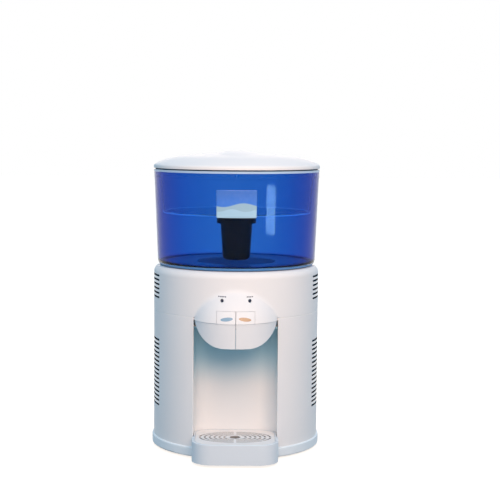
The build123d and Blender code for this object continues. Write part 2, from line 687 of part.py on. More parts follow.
# Niche panel: the sides, back and ceiling of the cup space, with cheeks and axle posts over the ceiling
with BuildPart() as niche_panel:
    with BuildSketch(Plane.XY.offset(BASE_TOP)):
        niche_outline(PANEL_HALF, NICHE_BACK + WALL, NICHE_CORNER + WALL)
        Circle(LIP_OUTER, mode=Mode.INTERSECT)
    extrude(amount=CEILING_TOP - BASE_TOP)
    with BuildSketch(Plane.XY.offset(BASE_TOP)):
        niche_outline(NICHE_HALF, NICHE_BACK, NICHE_CORNER)
    extrude(amount=NICHE_TOP - BASE_TOP, mode=Mode.SUBTRACT)
    with BuildSketch(Plane.XY.offset(CEILING_TOP)):
        with Locations((0, AXLE_Y)):
            with GridLocations(2 * (BUTTON_HALF + POST_THICKNESS), 0, 2, 1):
                Rectangle(POST_THICKNESS, POST_DEPTH)
    extrude(amount=AXLE_HEIGHT + POST_DEPTH / 2 - CEILING_TOP)
    with BuildSketch(Plane.XY.offset(CEILING_TOP)):
        niche_outline(PANEL_HALF, CHEEK_BACK + WALL, WALL)
        niche_outline(NICHE_HALF, CHEEK_BACK, FIT, mode=Mode.SUBTRACT)
        Circle(LIP_OUTER, mode=Mode.INTERSECT)
        Rectangle(2 * (BUTTON_HALF + POST_THICKNESS), 2 * BODY_RADIUS, mode=Mode.SUBTRACT)
    extrude(amount=SEAM_HEIGHT - FIT - CEILING_TOP)
    with BuildSketch(Plane.YZ):
        with Locations((AXLE_Y, AXLE_HEIGHT)):
            Circle(AXLE_RADIUS + AXLE_CLEARANCE)
    extrude(amount=PANEL_HALF, both=True, mode=Mode.SUBTRACT)
    for side in SIDES.values():
        upright(side * TAP_X, TAP_Y, TAP_NECK_RADIUS + FIT, NICHE_TOP, CEILING_TOP, mode=Mode.SUBTRACT)
save(niche_panel.part, "niche_panel")

# Upper housing: the shoulder, the domed nose with the button window, and the vents
with BuildPart() as upper_housing:
    add(NOSE_OUTSIDE)
    upright(0, 0, INNER_RADIUS, 0, DECK_HEIGHT, mode=Mode.SUBTRACT)
    with BuildSketch(Plane.XZ) as shoulder_profile:
        with BuildLine():
            Polyline(
                (INNER_RADIUS, SEAM_HEIGHT),
                (BODY_RADIUS - SEAM_BEVEL, SEAM_HEIGHT),
                (BODY_RADIUS, SEAM_HEIGHT + SEAM_BEVEL),
                (BODY_RADIUS, DECK_HEIGHT),
                (DECK_OPENING, DECK_HEIGHT),
                (DECK_OPENING, ANNULUS_BOTTOM),
                (INNER_RADIUS, ANNULUS_BOTTOM),
                close=True,
            )
        make_face()
        for corner, radius in (
            ((BODY_RADIUS, DECK_HEIGHT), SHOULDER_RADIUS),
            ((INNER_RADIUS, ANNULUS_BOTTOM), SHOULDER_RADIUS - WALL),
        ):
            fillet(shoulder_profile.vertices().sort_by_distance(corner)[0], radius)
    revolve(axis=Axis.Z)
    fillet(upper_housing.edges().filter_by(GeomType.BSPLINE).sort_by(Axis.Y)[0], NOSE_BLEND)
    add(NOSE_INSIDE, mode=Mode.SUBTRACT)
    window = BUTTON_TOP + BUTTON_SEAM - CREASE_HEIGHT
    with Locations((0, NOSE_FRONT, CREASE_HEIGHT)):
        Box(
            2 * (BUTTON_HALF + BUTTON_SEAM),
            2 * NOSE_REACH,
            window,
            align=(Align.CENTER, Align.CENTER, Align.MIN),
            mode=Mode.SUBTRACT,
        )
    with BuildSketch(Plane.XZ):
        with Locations((0, LIGHT_HEIGHT)):
            with GridLocations(2 * LIGHT_X, 0, 2, 1):
                Circle(LIGHT_RADIUS + LIGHT_CLEARANCE)
    extrude(amount=2 * BODY_RADIUS, mode=Mode.SUBTRACT)
    cut_vents(UPPER_VENT_BOTTOM, UPPER_VENT_ROWS)
save(upper_housing.part, "upper_housing")


def button_half(side, inner, outer, bottom, top):
    """A box that keeps one button's share of the nose."""
    with BuildPart() as half:
        with Locations((side * (inner + outer) / 2, NOSE_FRONT, (bottom + top) / 2)):
            Box(outer - inner, 4 * NOSE_REACH, top - bottom)
    return half.part


def apron(side):
    """The drum wall below the crease, cut to the round-cornered front outline, on one side of the slit."""
    radius = NOSE_RADIUS - APRON_INSET
    half_width = NICHE_HALF - APRON_SIDE_GAP
    above = CREASE_HEIGHT + APRON_CORNER
    share = button_half(side, BUTTON_GAP / 2, NOSE_RADIUS, APRON_BOTTOM, CREASE_HEIGHT)
    with BuildPart() as wall:
        with BuildSketch(Plane.XY.offset(APRON_BOTTOM)):
            with Locations((0, NOSE_Y)):
                Circle(radius)
                Circle(radius - WALL, mode=Mode.SUBTRACT)
        extrude(amount=CREASE_HEIGHT - BUTTON_SEAM - APRON_BOTTOM)
        with BuildSketch(Plane.XZ):
            with BuildLine():
                FilletPolyline(
                    (-half_width, above),
                    (-half_width, APRON_BOTTOM),
                    (half_width, APRON_BOTTOM),
                    (half_width, above),
                    radius=APRON_CORNER,
                )
                Line((half_width, above), (-half_width, above))
            make_face()
        extrude(amount=2 * BODY_RADIUS, mode=Mode.INTERSECT)
        add(share, mode=Mode.INTERSECT)
    return wall.part


def badge_form(side, grow):
    """The thin oval of a colour badge in the dome's skin."""
    with BuildPart() as oval:
        with BuildSketch(Plane.XZ.offset(BODY_RADIUS)):
            with Locations((side * BADGE_X, BADGE_Z)):
                Ellipse(BADGE_LENGTH / 2 + grow, BADGE_HEIGHT / 2 + grow, rotation=-side * BADGE_TILT)
        extrude(amount=BODY_RADIUS)
        add(NOSE_OUTSIDE, mode=Mode.INTERSECT)
        add(BADGE_BED, mode=Mode.SUBTRACT)
    return oval.part


# Buttons: each is a patch of the dome and half of the apron, on an arm back to the axle
for name, side in SIDES.items():
    patch = button_half(side, BUTTON_GAP / 2, BUTTON_HALF, CREASE_HEIGHT - BUTTON_SEAM, BUTTON_TOP)
    front_wall = apron(side)
    badge_bed = badge_form(side, BADGE_CLEARANCE)
    with BuildPart() as button_arm:
        with Locations((side * TAP_X, (AXLE_Y + TRAY_FRONT) / 2, AXLE_HEIGHT)):
            Box(ARM_WIDTH, AXLE_Y - TRAY_FRONT, ARM_HEIGHT)
        add(NOSE_MIDDLE, mode=Mode.INTERSECT)
        with BuildSketch(Plane.YZ.offset(side * TAP_X - ARM_WIDTH / 2)):
            with Locations((AXLE_Y, AXLE_HEIGHT)):
                Circle(BARREL_RADIUS)
        extrude(amount=ARM_WIDTH)
    with BuildPart() as button:
        add(NOSE_OUTSIDE)
        add(NOSE_INSIDE, mode=Mode.SUBTRACT)
        add(patch, mode=Mode.INTERSECT)
        with BuildSketch(Plane.XY.offset(CREASE_HEIGHT - BUTTON_SEAM)):
            with Locations((0, NOSE_Y)):
                Circle(NOSE_RADIUS)
                Circle(NOSE_RADIUS - APRON_INSET - WALL, mode=Mode.SUBTRACT)
            middle = side * (BUTTON_GAP / 2 + BUTTON_HALF) / 2
            with Locations((middle, TRAY_FRONT)):
                Rectangle(BUTTON_HALF - BUTTON_GAP / 2, BODY_RADIUS, mode=Mode.INTERSECT)
        extrude(amount=BUTTON_SEAM)
        add(front_wall)
        add(button_arm.part)
        with BuildSketch(Plane.YZ):
            with Locations((AXLE_Y, AXLE_HEIGHT)):
                Circle(AXLE_RADIUS + AXLE_CLEARANCE)
        extrude(amount=side * NOSE_RADIUS, mode=Mode.SUBTRACT)
        add(badge_bed, mode=Mode.SUBTRACT)
    save(button.part, f"{name}_button")

    # Badge: a thin coloured oval let into the button
    save(badge_form(side, 0), f"{name}_badge")

# Button axle: one rod through the posts and both buttons
with BuildPart() as button_axle:
    half_rod = BUTTON_HALF + 1.5 * POST_THICKNESS
    with BuildSketch(Plane.YZ.offset(-half_rod)):
        with Locations((AXLE_Y, AXLE_HEIGHT)):
            Circle(AXLE_RADIUS)
    extrude(amount=2 * half_rod)
save(button_axle.part, "button_axle")


def tap_plane(side):
    """The upright plane through a tap's axis."""
    return Plane(origin=(side * TAP_X, TAP_Y, 0), x_dir=(1, 0, 0), z_dir=(0, -1, 0))


# Taps: a body clamped in the ceiling, a plunger that the button pushes down, and its spring
for name, side in SIDES.items():
    tap_axis = Axis((side * TAP_X, TAP_Y, 0), (0, 0, 1))
    with BuildPart() as tap_body:
        with BuildSketch(tap_plane(side)):
            with BuildLine():
                Polyline(
                    (NOZZLE_BORE, NOZZLE_TOP - NOZZLE_LENGTH),
                    (NOZZLE_BORE + NOZZLE_TIP_WALL, NOZZLE_TOP - NOZZLE_LENGTH),
                    (NOZZLE_BORE + NOZZLE_WALL, NOZZLE_TOP),
                    (TAP_FLANGE_RADIUS, NOZZLE_TOP),
                    (TAP_FLANGE_RADIUS, NICHE_TOP),
                    (TAP_NECK_RADIUS, NICHE_TOP),
                    (TAP_NECK_RADIUS, CEILING_TOP),
                    (TAP_BODY_RADIUS, CEILING_TOP),
                    (TAP_BODY_RADIUS, TAP_TOP),
                    (STEM_RADIUS + STEM_CLEARANCE, TAP_TOP),
                    (STEM_RADIUS + STEM_CLEARANCE, TAP_TOP - WALL),
                    (TAP_CHAMBER_RADIUS, TAP_TOP - WALL),
                    (TAP_CHAMBER_RADIUS, CEILING_TOP),
                    (NOZZLE_BORE, CEILING_TOP),
                    close=True,
                )
            make_face()
        revolve(axis=tap_axis)
        with BuildSketch(Plane.XZ.offset(-TAP_Y - TAP_CHAMBER_RADIUS)):
            with Locations((side * TAP_X, TAP_HOSE_HEIGHT)):
                Circle(NIPPLE_RADIUS)
        extrude(amount=-(TAP_BODY_RADIUS - TAP_CHAMBER_RADIUS + NIPPLE_LENGTH))
        with BuildSketch(Plane.XZ.offset(-TAP_Y)):
            with Locations((side * TAP_X, TAP_HOSE_HEIGHT)):
                Circle(NIPPLE_BORE)
        extrude(amount=-(TAP_BODY_RADIUS + NIPPLE_LENGTH), mode=Mode.SUBTRACT)
    save(tap_body.part, f"{name}_tap_body")

    with BuildPart() as plunger:
        with BuildSketch(tap_plane(side)):
            with BuildLine():
                plug_top = CEILING_TOP - WALL
                Polyline(
                    (0, plug_top - PLUG_LENGTH),
                    (NOZZLE_BORE - PLUG_CLEARANCE, plug_top - PLUG_LENGTH),
                    (NOZZLE_BORE - PLUG_CLEARANCE, plug_top),
                    (STEM_RADIUS, plug_top),
                    (STEM_RADIUS, HEAD_BOTTOM),
                    (HEAD_RADIUS, HEAD_BOTTOM),
                    (HEAD_RADIUS, HEAD_TOP),
                    (0, HEAD_TOP),
                    close=True,
                )
            make_face()
        revolve(axis=tap_axis)
    save(plunger.part, f"{name}_plunger")

    with BuildPart() as spring:
        free_height = HEAD_BOTTOM - TAP_TOP - SPRING_WIRE
        with BuildLine() as coil:
            Helix(
                pitch=free_height / SPRING_TURNS,
                height=free_height,
                radius=SPRING_RADIUS,
                center=(side * TAP_X, TAP_Y, TAP_TOP + SPRING_WIRE / 2),
            )
        with BuildSketch(Plane(origin=coil.line @ 0, z_dir=coil.line % 0)):
            Circle(SPRING_WIRE / 2)
        sweep(is_frenet=True)
    save(spring.part, f"{name}_spring")

# Indicator lights: two clear rods flush with the dome, on a small board
for name, side in SIDES.items():
    with BuildPart() as light:
        with BuildSketch(Plane.XZ.offset(-LIGHT_BOARD_Y)):
            with Locations((side * LIGHT_X, LIGHT_HEIGHT)):
                Circle(LIGHT_RADIUS)
        extrude(amount=BODY_RADIUS)
        add(NOSE_OUTSIDE, mode=Mode.INTERSECT)
    save(light.part, f"{name}_light")

with BuildPart() as indicator_board:
    with BuildSketch(Plane.XZ.offset(-LIGHT_BOARD_Y)):
        with Locations((0, LIGHT_HEIGHT)):
            Rectangle(BOARD_WIDTH, BOARD_HEIGHT)
    extrude(amount=-BOARD_THICKNESS)
save(indicator_board.part, "indicator_board")

# Drip tray: a bow-fronted dish with a tongue that slides into the niche
with BuildPart() as drip_tray:
    with BuildSketch(Plane.XY.offset(TRAY_BOTTOM)):
        with BuildLine():
            FilletPolyline(
                (-TRAY_HALF, NICHE_BACK),
                (-TRAY_HALF, TRAY_FRONT),
                (TRAY_HALF, TRAY_FRONT),
                (TRAY_HALF, NICHE_BACK),
                radius=TRAY_CORNER,
            )
            Line((TRAY_HALF, NICHE_BACK), (-TRAY_HALF, NICHE_BACK))
        make_face()
        Circle(PLINTH_RADIUS + TRAY_CLEARANCE, mode=Mode.SUBTRACT)
    extrude(amount=TRAY_TOP - TRAY_BOTTOM)
    fillet(drip_tray.faces().sort_by(Axis.Z)[-1].edges(), TRAY_ROUND)
    with BuildSketch(Plane.XY.offset(TONGUE_BOTTOM)):
        niche_outline(TONGUE_HALF, TONGUE_BACK, NICHE_CORNER)
        Circle(PLINTH_RADIUS + TRAY_WALL, mode=Mode.INTERSECT)
    extrude(amount=TRAY_TOP - TONGUE_BOTTOM)
    with BuildSketch(Plane.XY.offset(POCKET_BOTTOM)) as tray_pocket:
        with BuildLine():
            Polyline(
                (-POCKET_HALF, POCKET_BACK),
                (-POCKET_HALF, POCKET_FRONT),
                (POCKET_HALF, POCKET_FRONT),
                (POCKET_HALF, POCKET_BACK),
                close=True,
            )
        make_face()
        fillet(tray_pocket.vertices().group_by(Axis.Y)[0], TRAY_CORNER - TRAY_WALL)
        fillet(tray_pocket.vertices().group_by(Axis.Y)[-1], NICHE_CORNER - TRAY_WALL)
    extrude(amount=TRAY_TOP, mode=Mode.SUBTRACT)
    with BuildSketch(Plane.XY.offset(POCKET_BOTTOM)):
        with Locations((0, POCKET_MIDDLE)):
            with GridLocations(2 * POCKET_HALF - LEDGE_SIZE, LEDGE_SPACING, 2, 2):
                Rectangle(LEDGE_SIZE, LEDGE_LENGTH)
    extrude(amount=GRILLE_BOTTOM - POCKET_BOTTOM)
save(drip_tray.part, "drip_tray")

# Drip grille: a plate with nested oval slots, broken by bridges, round a drain
with BuildPart() as drip_grille:
    half = POCKET_HALF - GRILLE_CLEARANCE
    front = POCKET_FRONT + GRILLE_CLEARANCE
    back = POCKET_BACK - GRILLE_CLEARANCE
    with BuildSketch(Plane.XY.offset(GRILLE_BOTTOM)) as grille_plan:
        with BuildLine():
            Polyline((-half, back), (-half, front), (half, front), (half, back), close=True)
        make_face()
        fillet(grille_plan.vertices().group_by(Axis.Y)[0], TRAY_CORNER - TRAY_WALL)
        fillet(grille_plan.vertices().group_by(Axis.Y)[-1], NICHE_CORNER - TRAY_WALL)
    extrude(amount=GRILLE_THICKNESS)
    with BuildSketch(Plane.XY.offset(GRILLE_BOTTOM)):
        with Locations((0, POCKET_MIDDLE)):
            width_span = GRILLE_HALF_WIDTH - DRAIN_HALF_WIDTH
            depth_span = GRILLE_HALF_DEPTH - DRAIN_HALF_DEPTH
            for ring in range(GRILLE_RINGS):
                half_width = GRILLE_HALF_WIDTH - width_span * ring / GRILLE_RINGS
                half_depth = GRILLE_HALF_DEPTH - depth_span * ring / GRILLE_RINGS
                Ellipse(half_width, half_depth)
                Ellipse(
                    half_width - GRILLE_SLOT,
                    half_depth - GRILLE_SLOT * depth_span / width_span,
                    mode=Mode.SUBTRACT,
                )
            Rectangle(2 * GRILLE_HALF_WIDTH, GRILLE_BRIDGE, mode=Mode.SUBTRACT)
            Rectangle(GRILLE_BRIDGE, 2 * GRILLE_HALF_DEPTH, mode=Mode.SUBTRACT)
            Ellipse(DRAIN_HALF_WIDTH - DRAIN_RIM, DRAIN_HALF_DEPTH - DRAIN_RIM)
    extrude(amount=GRILLE_THICKNESS, mode=Mode.SUBTRACT)
save(drip_grille.part, "drip_grille")

# Top deck: the dish under the tank, with a well for the tank's sump
with BuildPart() as top_deck:
    turned(
        (SOCKET_BORE, SOCKET_TOP),
        (WELL_RADIUS + WALL, SOCKET_TOP),
        (WELL_RADIUS + WALL, DECK_BOTTOM),
        (DECK_FLANGE, DECK_BOTTOM),
        (DECK_FLANGE, ANNULUS_BOTTOM),
        (WELL_RADIUS, ANNULUS_BOTTOM),
        (WELL_RADIUS, WELL_FLOOR),
        (SOCKET_BORE, WELL_FLOOR),
    )
save(top_deck.part, "top_deck")

# Outlet socket: takes the tank's spigot and feeds both hoses
with BuildPart() as outlet_socket:
    turned(
        (0, SOCKET_BOTTOM),
        (SOCKET_OUTER, SOCKET_BOTTOM),
        (SOCKET_OUTER, SOCKET_TOP - WALL),
        (SOCKET_FLANGE, SOCKET_TOP - WALL),
        (SOCKET_FLANGE, SOCKET_TOP),
        (SOCKET_BORE, SOCKET_TOP),
        (SOCKET_BORE, SOCKET_BOTTOM + WALL),
        (0, SOCKET_BOTTOM + WALL),
    )
    with BuildSketch(Plane.YZ.offset(SOCKET_BORE + SOCKET_WALL / 2)):
        with Locations((0, FEED_HEIGHT)):
            Circle(NIPPLE_RADIUS)
    extrude(amount=SOCKET_WALL / 2 + NIPPLE_LENGTH)
    mirror(about=Plane.YZ)
    with BuildSketch(Plane.YZ):
        with Locations((0, FEED_HEIGHT)):
            Circle(NIPPLE_BORE)
    extrude(amount=SOCKET_OUTER + NIPPLE_LENGTH, both=True, mode=Mode.SUBTRACT)
save(outlet_socket.part, "outlet_socket")

# Water tank: a tapered see-through drum with a bead at its foot and a sump in its floor
with BuildPart() as water_tank:
    floor_radius = TANK_FOOT_RADIUS + TANK_TAPER * (TANK_FLOOR_TOP - DECK_HEIGHT) - TANK_WALL
    with BuildSketch(Plane.XZ) as tank_profile:
        with BuildLine():
            Polyline(
                (SPIGOT_RADIUS + SPIGOT_CLEARANCE, SUMP_BOTTOM),
                (SUMP_RADIUS, SUMP_BOTTOM),
                (SUMP_RADIUS, TANK_FLOOR),
                (TANK_FOOT_RADIUS - FOOT_RING_WIDTH, TANK_FLOOR),
                (TANK_FOOT_RADIUS - FOOT_RING_WIDTH, DECK_HEIGHT),
                (TANK_FOOT_RADIUS, DECK_HEIGHT),
                (TANK_TOP_RADIUS, TANK_TOP),
                (TANK_TOP_RADIUS - TANK_WALL, TANK_TOP),
                (floor_radius, TANK_FLOOR_TOP),
                (SUMP_RADIUS - TANK_WALL, TANK_FLOOR_TOP),
                (SUMP_RADIUS - TANK_WALL, SUMP_FLOOR),
                (SPIGOT_RADIUS + SPIGOT_CLEARANCE, SUMP_FLOOR),
                close=True,
            )
        make_face()
        for corner, radius in (
            ((TANK_FOOT_RADIUS, DECK_HEIGHT), TANK_FOOT_ROUND),
            ((floor_radius, TANK_FLOOR_TOP), TANK_FOOT_ROUND - TANK_WALL),
        ):
            fillet(tank_profile.vertices().sort_by_distance(corner)[0], radius)
    revolve(axis=Axis.Z)
save(water_tank.part, "water_tank")

# Outlet spigot: a flanged pipe through the sump into the socket, with a groove for its seal
with BuildPart() as outlet_spigot:
    turned(
        (SPIGOT_BORE, SPIGOT_BOTTOM),
        (SPIGOT_RADIUS, SPIGOT_BOTTOM),
        (SPIGOT_RADIUS, SEAL_HEIGHT - SEAL_WIRE - FIT),
        (SPIGOT_RADIUS - SEAL_WIRE - FIT, SEAL_HEIGHT - SEAL_WIRE - FIT),
        (SPIGOT_RADIUS - SEAL_WIRE - FIT, SEAL_HEIGHT + SEAL_WIRE + FIT),
        (SPIGOT_RADIUS, SEAL_HEIGHT + SEAL_WIRE + FIT),
        (SPIGOT_RADIUS, SUMP_FLOOR),
        (SPIGOT_FLANGE, SUMP_FLOOR),
        (SPIGOT_FLANGE, SUMP_FLOOR + WALL),
        (SPIGOT_BORE, SUMP_FLOOR + WALL),
    )
save(outlet_spigot.part, "outlet_spigot")

with BuildPart() as spigot_seal:
    with BuildSketch(Plane.XZ):
        with Locations((SPIGOT_RADIUS, SEAL_HEIGHT)):
            Circle(SEAL_WIRE)
    revolve(axis=Axis.Z)
save(spigot_seal.part, "spigot_seal")

# Raw water chamber: the inner tank that hangs from the rim, with gussets under its collar
with BuildPart() as raw_water_chamber:
    turned(
        (NECK_HOLE, CHAMBER_FLOOR),
        (CHAMBER_FLOOR_RADIUS, CHAMBER_FLOOR),
        (CHAMBER_RADIUS, COLLAR_BOTTOM),
        (COLLAR_RADIUS, COLLAR_BOTTOM),
        (COLLAR_RADIUS, TANK_TOP),
        (TANK_TOP_RADIUS, TANK_TOP),
        (TANK_TOP_RADIUS, CHAMBER_TOP),
        (CHAMBER_INSIDE, CHAMBER_TOP),
        (CHAMBER_INSIDE, COLLAR_BOTTOM),
        (CHAMBER_FLOOR_RADIUS - CHAMBER_WALL, NUT_BOTTOM),
        (NECK_HOLE, NUT_BOTTOM),
    )
    with BuildSketch(Plane.XY.offset(COLLAR_BOTTOM)):
        gusset_circle = (CHAMBER_RADIUS + COLLAR_RADIUS) / 2 - CHAMBER_WALL
        with PolarLocations(gusset_circle, GUSSET_COUNT, start_angle=GUSSET_START):
            Rectangle(COLLAR_STEP, GUSSET_WIDTH)
    extrude(amount=-GUSSET_HEIGHT)
save(raw_water_chamber.part, "raw_water_chamber")

# Filter: a head and cup hung under the chamber floor by a nut
with BuildPart() as filter_gasket:
    turned(
        (NECK_HOLE, FILTER_HEAD_TOP),
        (GASKET_RADIUS, FILTER_HEAD_TOP),
        (GASKET_RADIUS, CHAMBER_FLOOR),
        (NECK_HOLE, CHAMBER_FLOOR),
    )
save(filter_gasket.part, "filter_gasket")

with BuildPart() as filter_head:
    turned(
        (0, FILTER_HEAD_BOTTOM),
        (FILTER_HEAD_RADIUS, FILTER_HEAD_BOTTOM),
        (FILTER_HEAD_RADIUS, FILTER_HEAD_TOP),
        (FILTER_NECK_RADIUS, FILTER_HEAD_TOP),
        (FILTER_NECK_RADIUS, FILTER_NECK_TOP),
        (FILTER_NECK_BORE, FILTER_NECK_TOP),
        (FILTER_NECK_BORE, FILTER_HEAD_TOP),
        (0, FILTER_HEAD_TOP),
    )
save(filter_head.part, "filter_head")

with BuildPart() as filter_cup:
    with BuildSketch(Plane.XZ) as cup_profile:
        with BuildLine():
            Polyline(
                (0, FILTER_HEAD_BOTTOM),
                (CUP_TOP_RADIUS, FILTER_HEAD_BOTTOM),
                (CUP_BOTTOM_RADIUS, CUP_BOTTOM),
                (0, CUP_BOTTOM),
                close=True,
            )
        make_face()
        fillet(cup_profile.vertices().sort_by_distance((CUP_BOTTOM_RADIUS, CUP_BOTTOM))[0], CUP_ROUND)
    revolve(axis=Axis.Z)
save(filter_cup.part, "filter_cup")

with BuildPart() as filter_nut:
    with BuildSketch(Plane.XY.offset(NUT_BOTTOM)):
        Circle(NUT_RADIUS)
        with PolarLocations(NUT_RADIUS, NUT_LOBES):
            Circle(NUT_LOBE_RADIUS, mode=Mode.SUBTRACT)
        Circle(FILTER_NECK_RADIUS + NUT_CLEARANCE, mode=Mode.SUBTRACT)
    extrude(amount=NUT_HEIGHT)
save(filter_nut.part, "filter_nut")


def crown_middle(top):
    """The point half-way along the arc of the lid's crown that ends at a height on the axis."""
    arc_radius = (LID_CREASE_RADIUS**2 + LID_CROWN**2) / (2 * LID_CROWN)
    half_turn = math.asin(LID_CREASE_RADIUS / arc_radius) / 2
    return arc_radius * math.sin(half_turn), top - arc_radius * (1 - math.cos(half_turn))


# Lid: a shallow dome with a crease ring, a shadow groove under its rim and an arched grip bar across the top
with BuildPart() as grip_bar:
    foot = GRIP_PEAK - GRIP_CROWN - GRIP_ARCH - LID_WALL
    with BuildSketch(Plane.XZ):
        with BuildLine():
            ThreePointArc(
                (-GRIP_HALF_WIDTH, GRIP_PEAK - GRIP_ARCH), (0, GRIP_PEAK), (GRIP_HALF_WIDTH, GRIP_PEAK - GRIP_ARCH)
            )
            Polyline(
                (GRIP_HALF_WIDTH, GRIP_PEAK - GRIP_ARCH),
                (GRIP_HALF_WIDTH, foot - GRIP_CROWN),
                (-GRIP_HALF_WIDTH, foot - GRIP_CROWN),
                (-GRIP_HALF_WIDTH, GRIP_PEAK - GRIP_ARCH),
            )
        make_face()
    grip_arc = (GRIP_HALF_LENGTH**2 + GRIP_CROWN**2) / (2 * GRIP_CROWN)
    revolve(axis=Axis((0, 0, GRIP_PEAK - grip_arc), (1, 0, 0)))
    with Locations((0, 0, foot)):
        Box(
            2 * GRIP_HALF_WIDTH,
            2 * GRIP_HALF_LENGTH,
            GRIP_PEAK - foot,
            align=(Align.CENTER, Align.CENTER, Align.MIN),
            mode=Mode.INTERSECT,
        )
    crown = grip_bar.faces().sort_by(Axis.Z)[-1]
    fillet(crown.edges().filter_by(GeomType.CIRCLE), GRIP_ROUND)

with BuildPart() as lid:
    top = LID_CREASE + LID_CROWN
    bulge = LID_BULGE / math.hypot(LID_SHOULDER, LID_SHOULDER_RISE)
    shoulder_middle = (
        LID_RADIUS - LID_SHOULDER / 2 + bulge * LID_SHOULDER_RISE,
        LID_SHOULDER_FOOT + LID_SHOULDER_RISE / 2 + bulge * LID_SHOULDER,
    )
    under_foot = (LID_SEAT - LID_WALL, LID_SHOULDER_FOOT)
    under_crease = (LID_CREASE_RADIUS, LID_CREASE - LID_WALL)
    slope = (under_crease[1] - under_foot[1]) / (under_foot[0] - under_crease[0])
    skirt_top = under_foot[1] + slope * (under_foot[0] - SKIRT_RADIUS + LID_WALL) + LID_WALL / 2
    with BuildSketch(Plane.XZ) as lid_profile:
        with BuildLine():
            Polyline(
                (LID_SEAT - LID_WALL, CHAMBER_TOP),
                (LID_SEAT, CHAMBER_TOP),
                (LID_SEAT, LID_BOTTOM),
                (LID_RADIUS, LID_BOTTOM),
                (LID_RADIUS, LID_SHOULDER_FOOT),
            )
            ThreePointArc((LID_RADIUS, LID_SHOULDER_FOOT), shoulder_middle, (LID_CREASE_RADIUS, LID_CREASE))
            ThreePointArc((LID_CREASE_RADIUS, LID_CREASE), crown_middle(top), (0, top))
            Line((0, top), (0, top - LID_WALL))
            ThreePointArc((0, top - LID_WALL), crown_middle(top - LID_WALL), under_crease)
            Polyline(under_crease, under_foot, (LID_SEAT - LID_WALL, CHAMBER_TOP))
        make_face()
        for height, radius in ((LID_BOTTOM, LID_EDGE_ROUND), (LID_SHOULDER_FOOT, LID_RIM_ROUND)):
            fillet(lid_profile.vertices().sort_by_distance((LID_RADIUS, height))[0], radius)
    revolve(axis=Axis.Z)
    turned(
        (SKIRT_RADIUS - LID_WALL, CHAMBER_TOP - SKIRT_DEPTH),
        (SKIRT_RADIUS, CHAMBER_TOP - SKIRT_DEPTH),
        (SKIRT_RADIUS, skirt_top),
        (SKIRT_RADIUS - LID_WALL, skirt_top),
    )
    add(grip_bar.part)
save(lid.part, "lid")

# Cold side: tank in a foam jacket, with a block through the jacket to the cooling stack
with BuildPart() as cold_tank:
    nipple_top = JACKET_TOP + NIPPLE_LENGTH
    boiler(COLD_X, 0, COLD_RADIUS, COLD_BOTTOM, COLD_TOP)
    for x, y in ((COLD_FEED_X, 0), (-TAP_X, COLD_TAP_Y)):
        upright(x, y, NIPPLE_RADIUS, COLD_TOP - TANK_SHEET / 2, nipple_top)
        upright(x, y, NIPPLE_BORE, COLD_TOP - TANK_ROUND, nipple_top, mode=Mode.SUBTRACT)
save(cold_tank.part, "cold_tank")

with BuildPart() as foam_jacket:
    upright(COLD_X, 0, JACKET_RADIUS, BASE_TOP, JACKET_TOP)
    upright(COLD_X, 0, COLD_RADIUS + JACKET_GAP, COLD_BOTTOM, COLD_TOP + JACKET_GAP, mode=Mode.SUBTRACT)
    upright(COLD_FEED_X, 0, NIPPLE_RADIUS + JACKET_GAP, COLD_TOP, JACKET_TOP, mode=Mode.SUBTRACT)
    upright(-TAP_X, COLD_TAP_Y, NIPPLE_RADIUS + JACKET_GAP, COLD_TOP, JACKET_TOP, mode=Mode.SUBTRACT)
    with Locations((COLD_X, 0, STACK_HEIGHT)):
        Box(
            2 * JACKET_RADIUS,
            BLOCK_SIZE + 2 * JACKET_GAP,
            BLOCK_SIZE + 2 * JACKET_GAP,
            align=(Align.MAX, Align.CENTER, Align.CENTER),
            mode=Mode.SUBTRACT,
        )
save(foam_jacket.part, "foam_jacket")

with BuildPart() as cold_block:
    with Locations((STACK_X, 0, STACK_HEIGHT)):
        Box(COLD_RADIUS, BLOCK_SIZE, BLOCK_SIZE, align=(Align.MIN, Align.CENTER, Align.CENTER))
    upright(COLD_X, 0, COLD_RADIUS + TANK_CLEARANCE, COLD_BOTTOM, COLD_TOP, mode=Mode.SUBTRACT)
save(cold_block.part, "cold_block")

with BuildPart() as cooling_module:
    with Locations((SINK_X, 0, STACK_HEIGHT)):
        Box(MODULE_THICKNESS, BLOCK_SIZE, BLOCK_SIZE, align=(Align.MIN, Align.CENTER, Align.CENTER))
save(cooling_module.part, "cooling_module")

with BuildPart() as heat_sink:
    with Locations((FIN_X, 0, STACK_HEIGHT)):
        Box(SINK_BASE, FAN_SIZE, FAN_SIZE, align=(Align.MIN, Align.CENTER, Align.CENTER))
        with GridLocations(0, (FAN_SIZE - FIN_THICKNESS) / (FIN_COUNT - 1), 1, FIN_COUNT):
            Box(FIN_HEIGHT, FIN_THICKNESS, FAN_SIZE, align=(Align.MAX, Align.CENTER, Align.CENTER))
save(heat_sink.part, "heat_sink")

# Fan: a square frame with three spokes and a pin, and a bladed rotor on the pin
with BuildPart() as fan_frame:
    with BuildSketch(Plane.YZ.offset(FAN_BACK)):
        with Locations((0, STACK_HEIGHT)):
            RectangleRounded(FAN_SIZE, FAN_SIZE, WALL)
            Circle(FAN_BORE, mode=Mode.SUBTRACT)
    extrude(amount=FAN_DEPTH)
    with BuildSketch(Plane.YZ.offset(FAN_BACK)):
        with Locations((0, STACK_HEIGHT)):
            Circle(FAN_HUB)
            with PolarLocations(FAN_BORE / 2, 3, start_angle=90):
                Rectangle(FAN_BORE + WALL, 2 * FAN_SPOKE)
    extrude(amount=FAN_SPOKE)
    with BuildSketch(Plane.YZ.offset(FAN_BACK)):
        with Locations((0, STACK_HEIGHT)):
            Circle(FAN_PIN)
    extrude(amount=FAN_DEPTH - FAN_SPOKE)
save(fan_frame.part, "fan_frame")

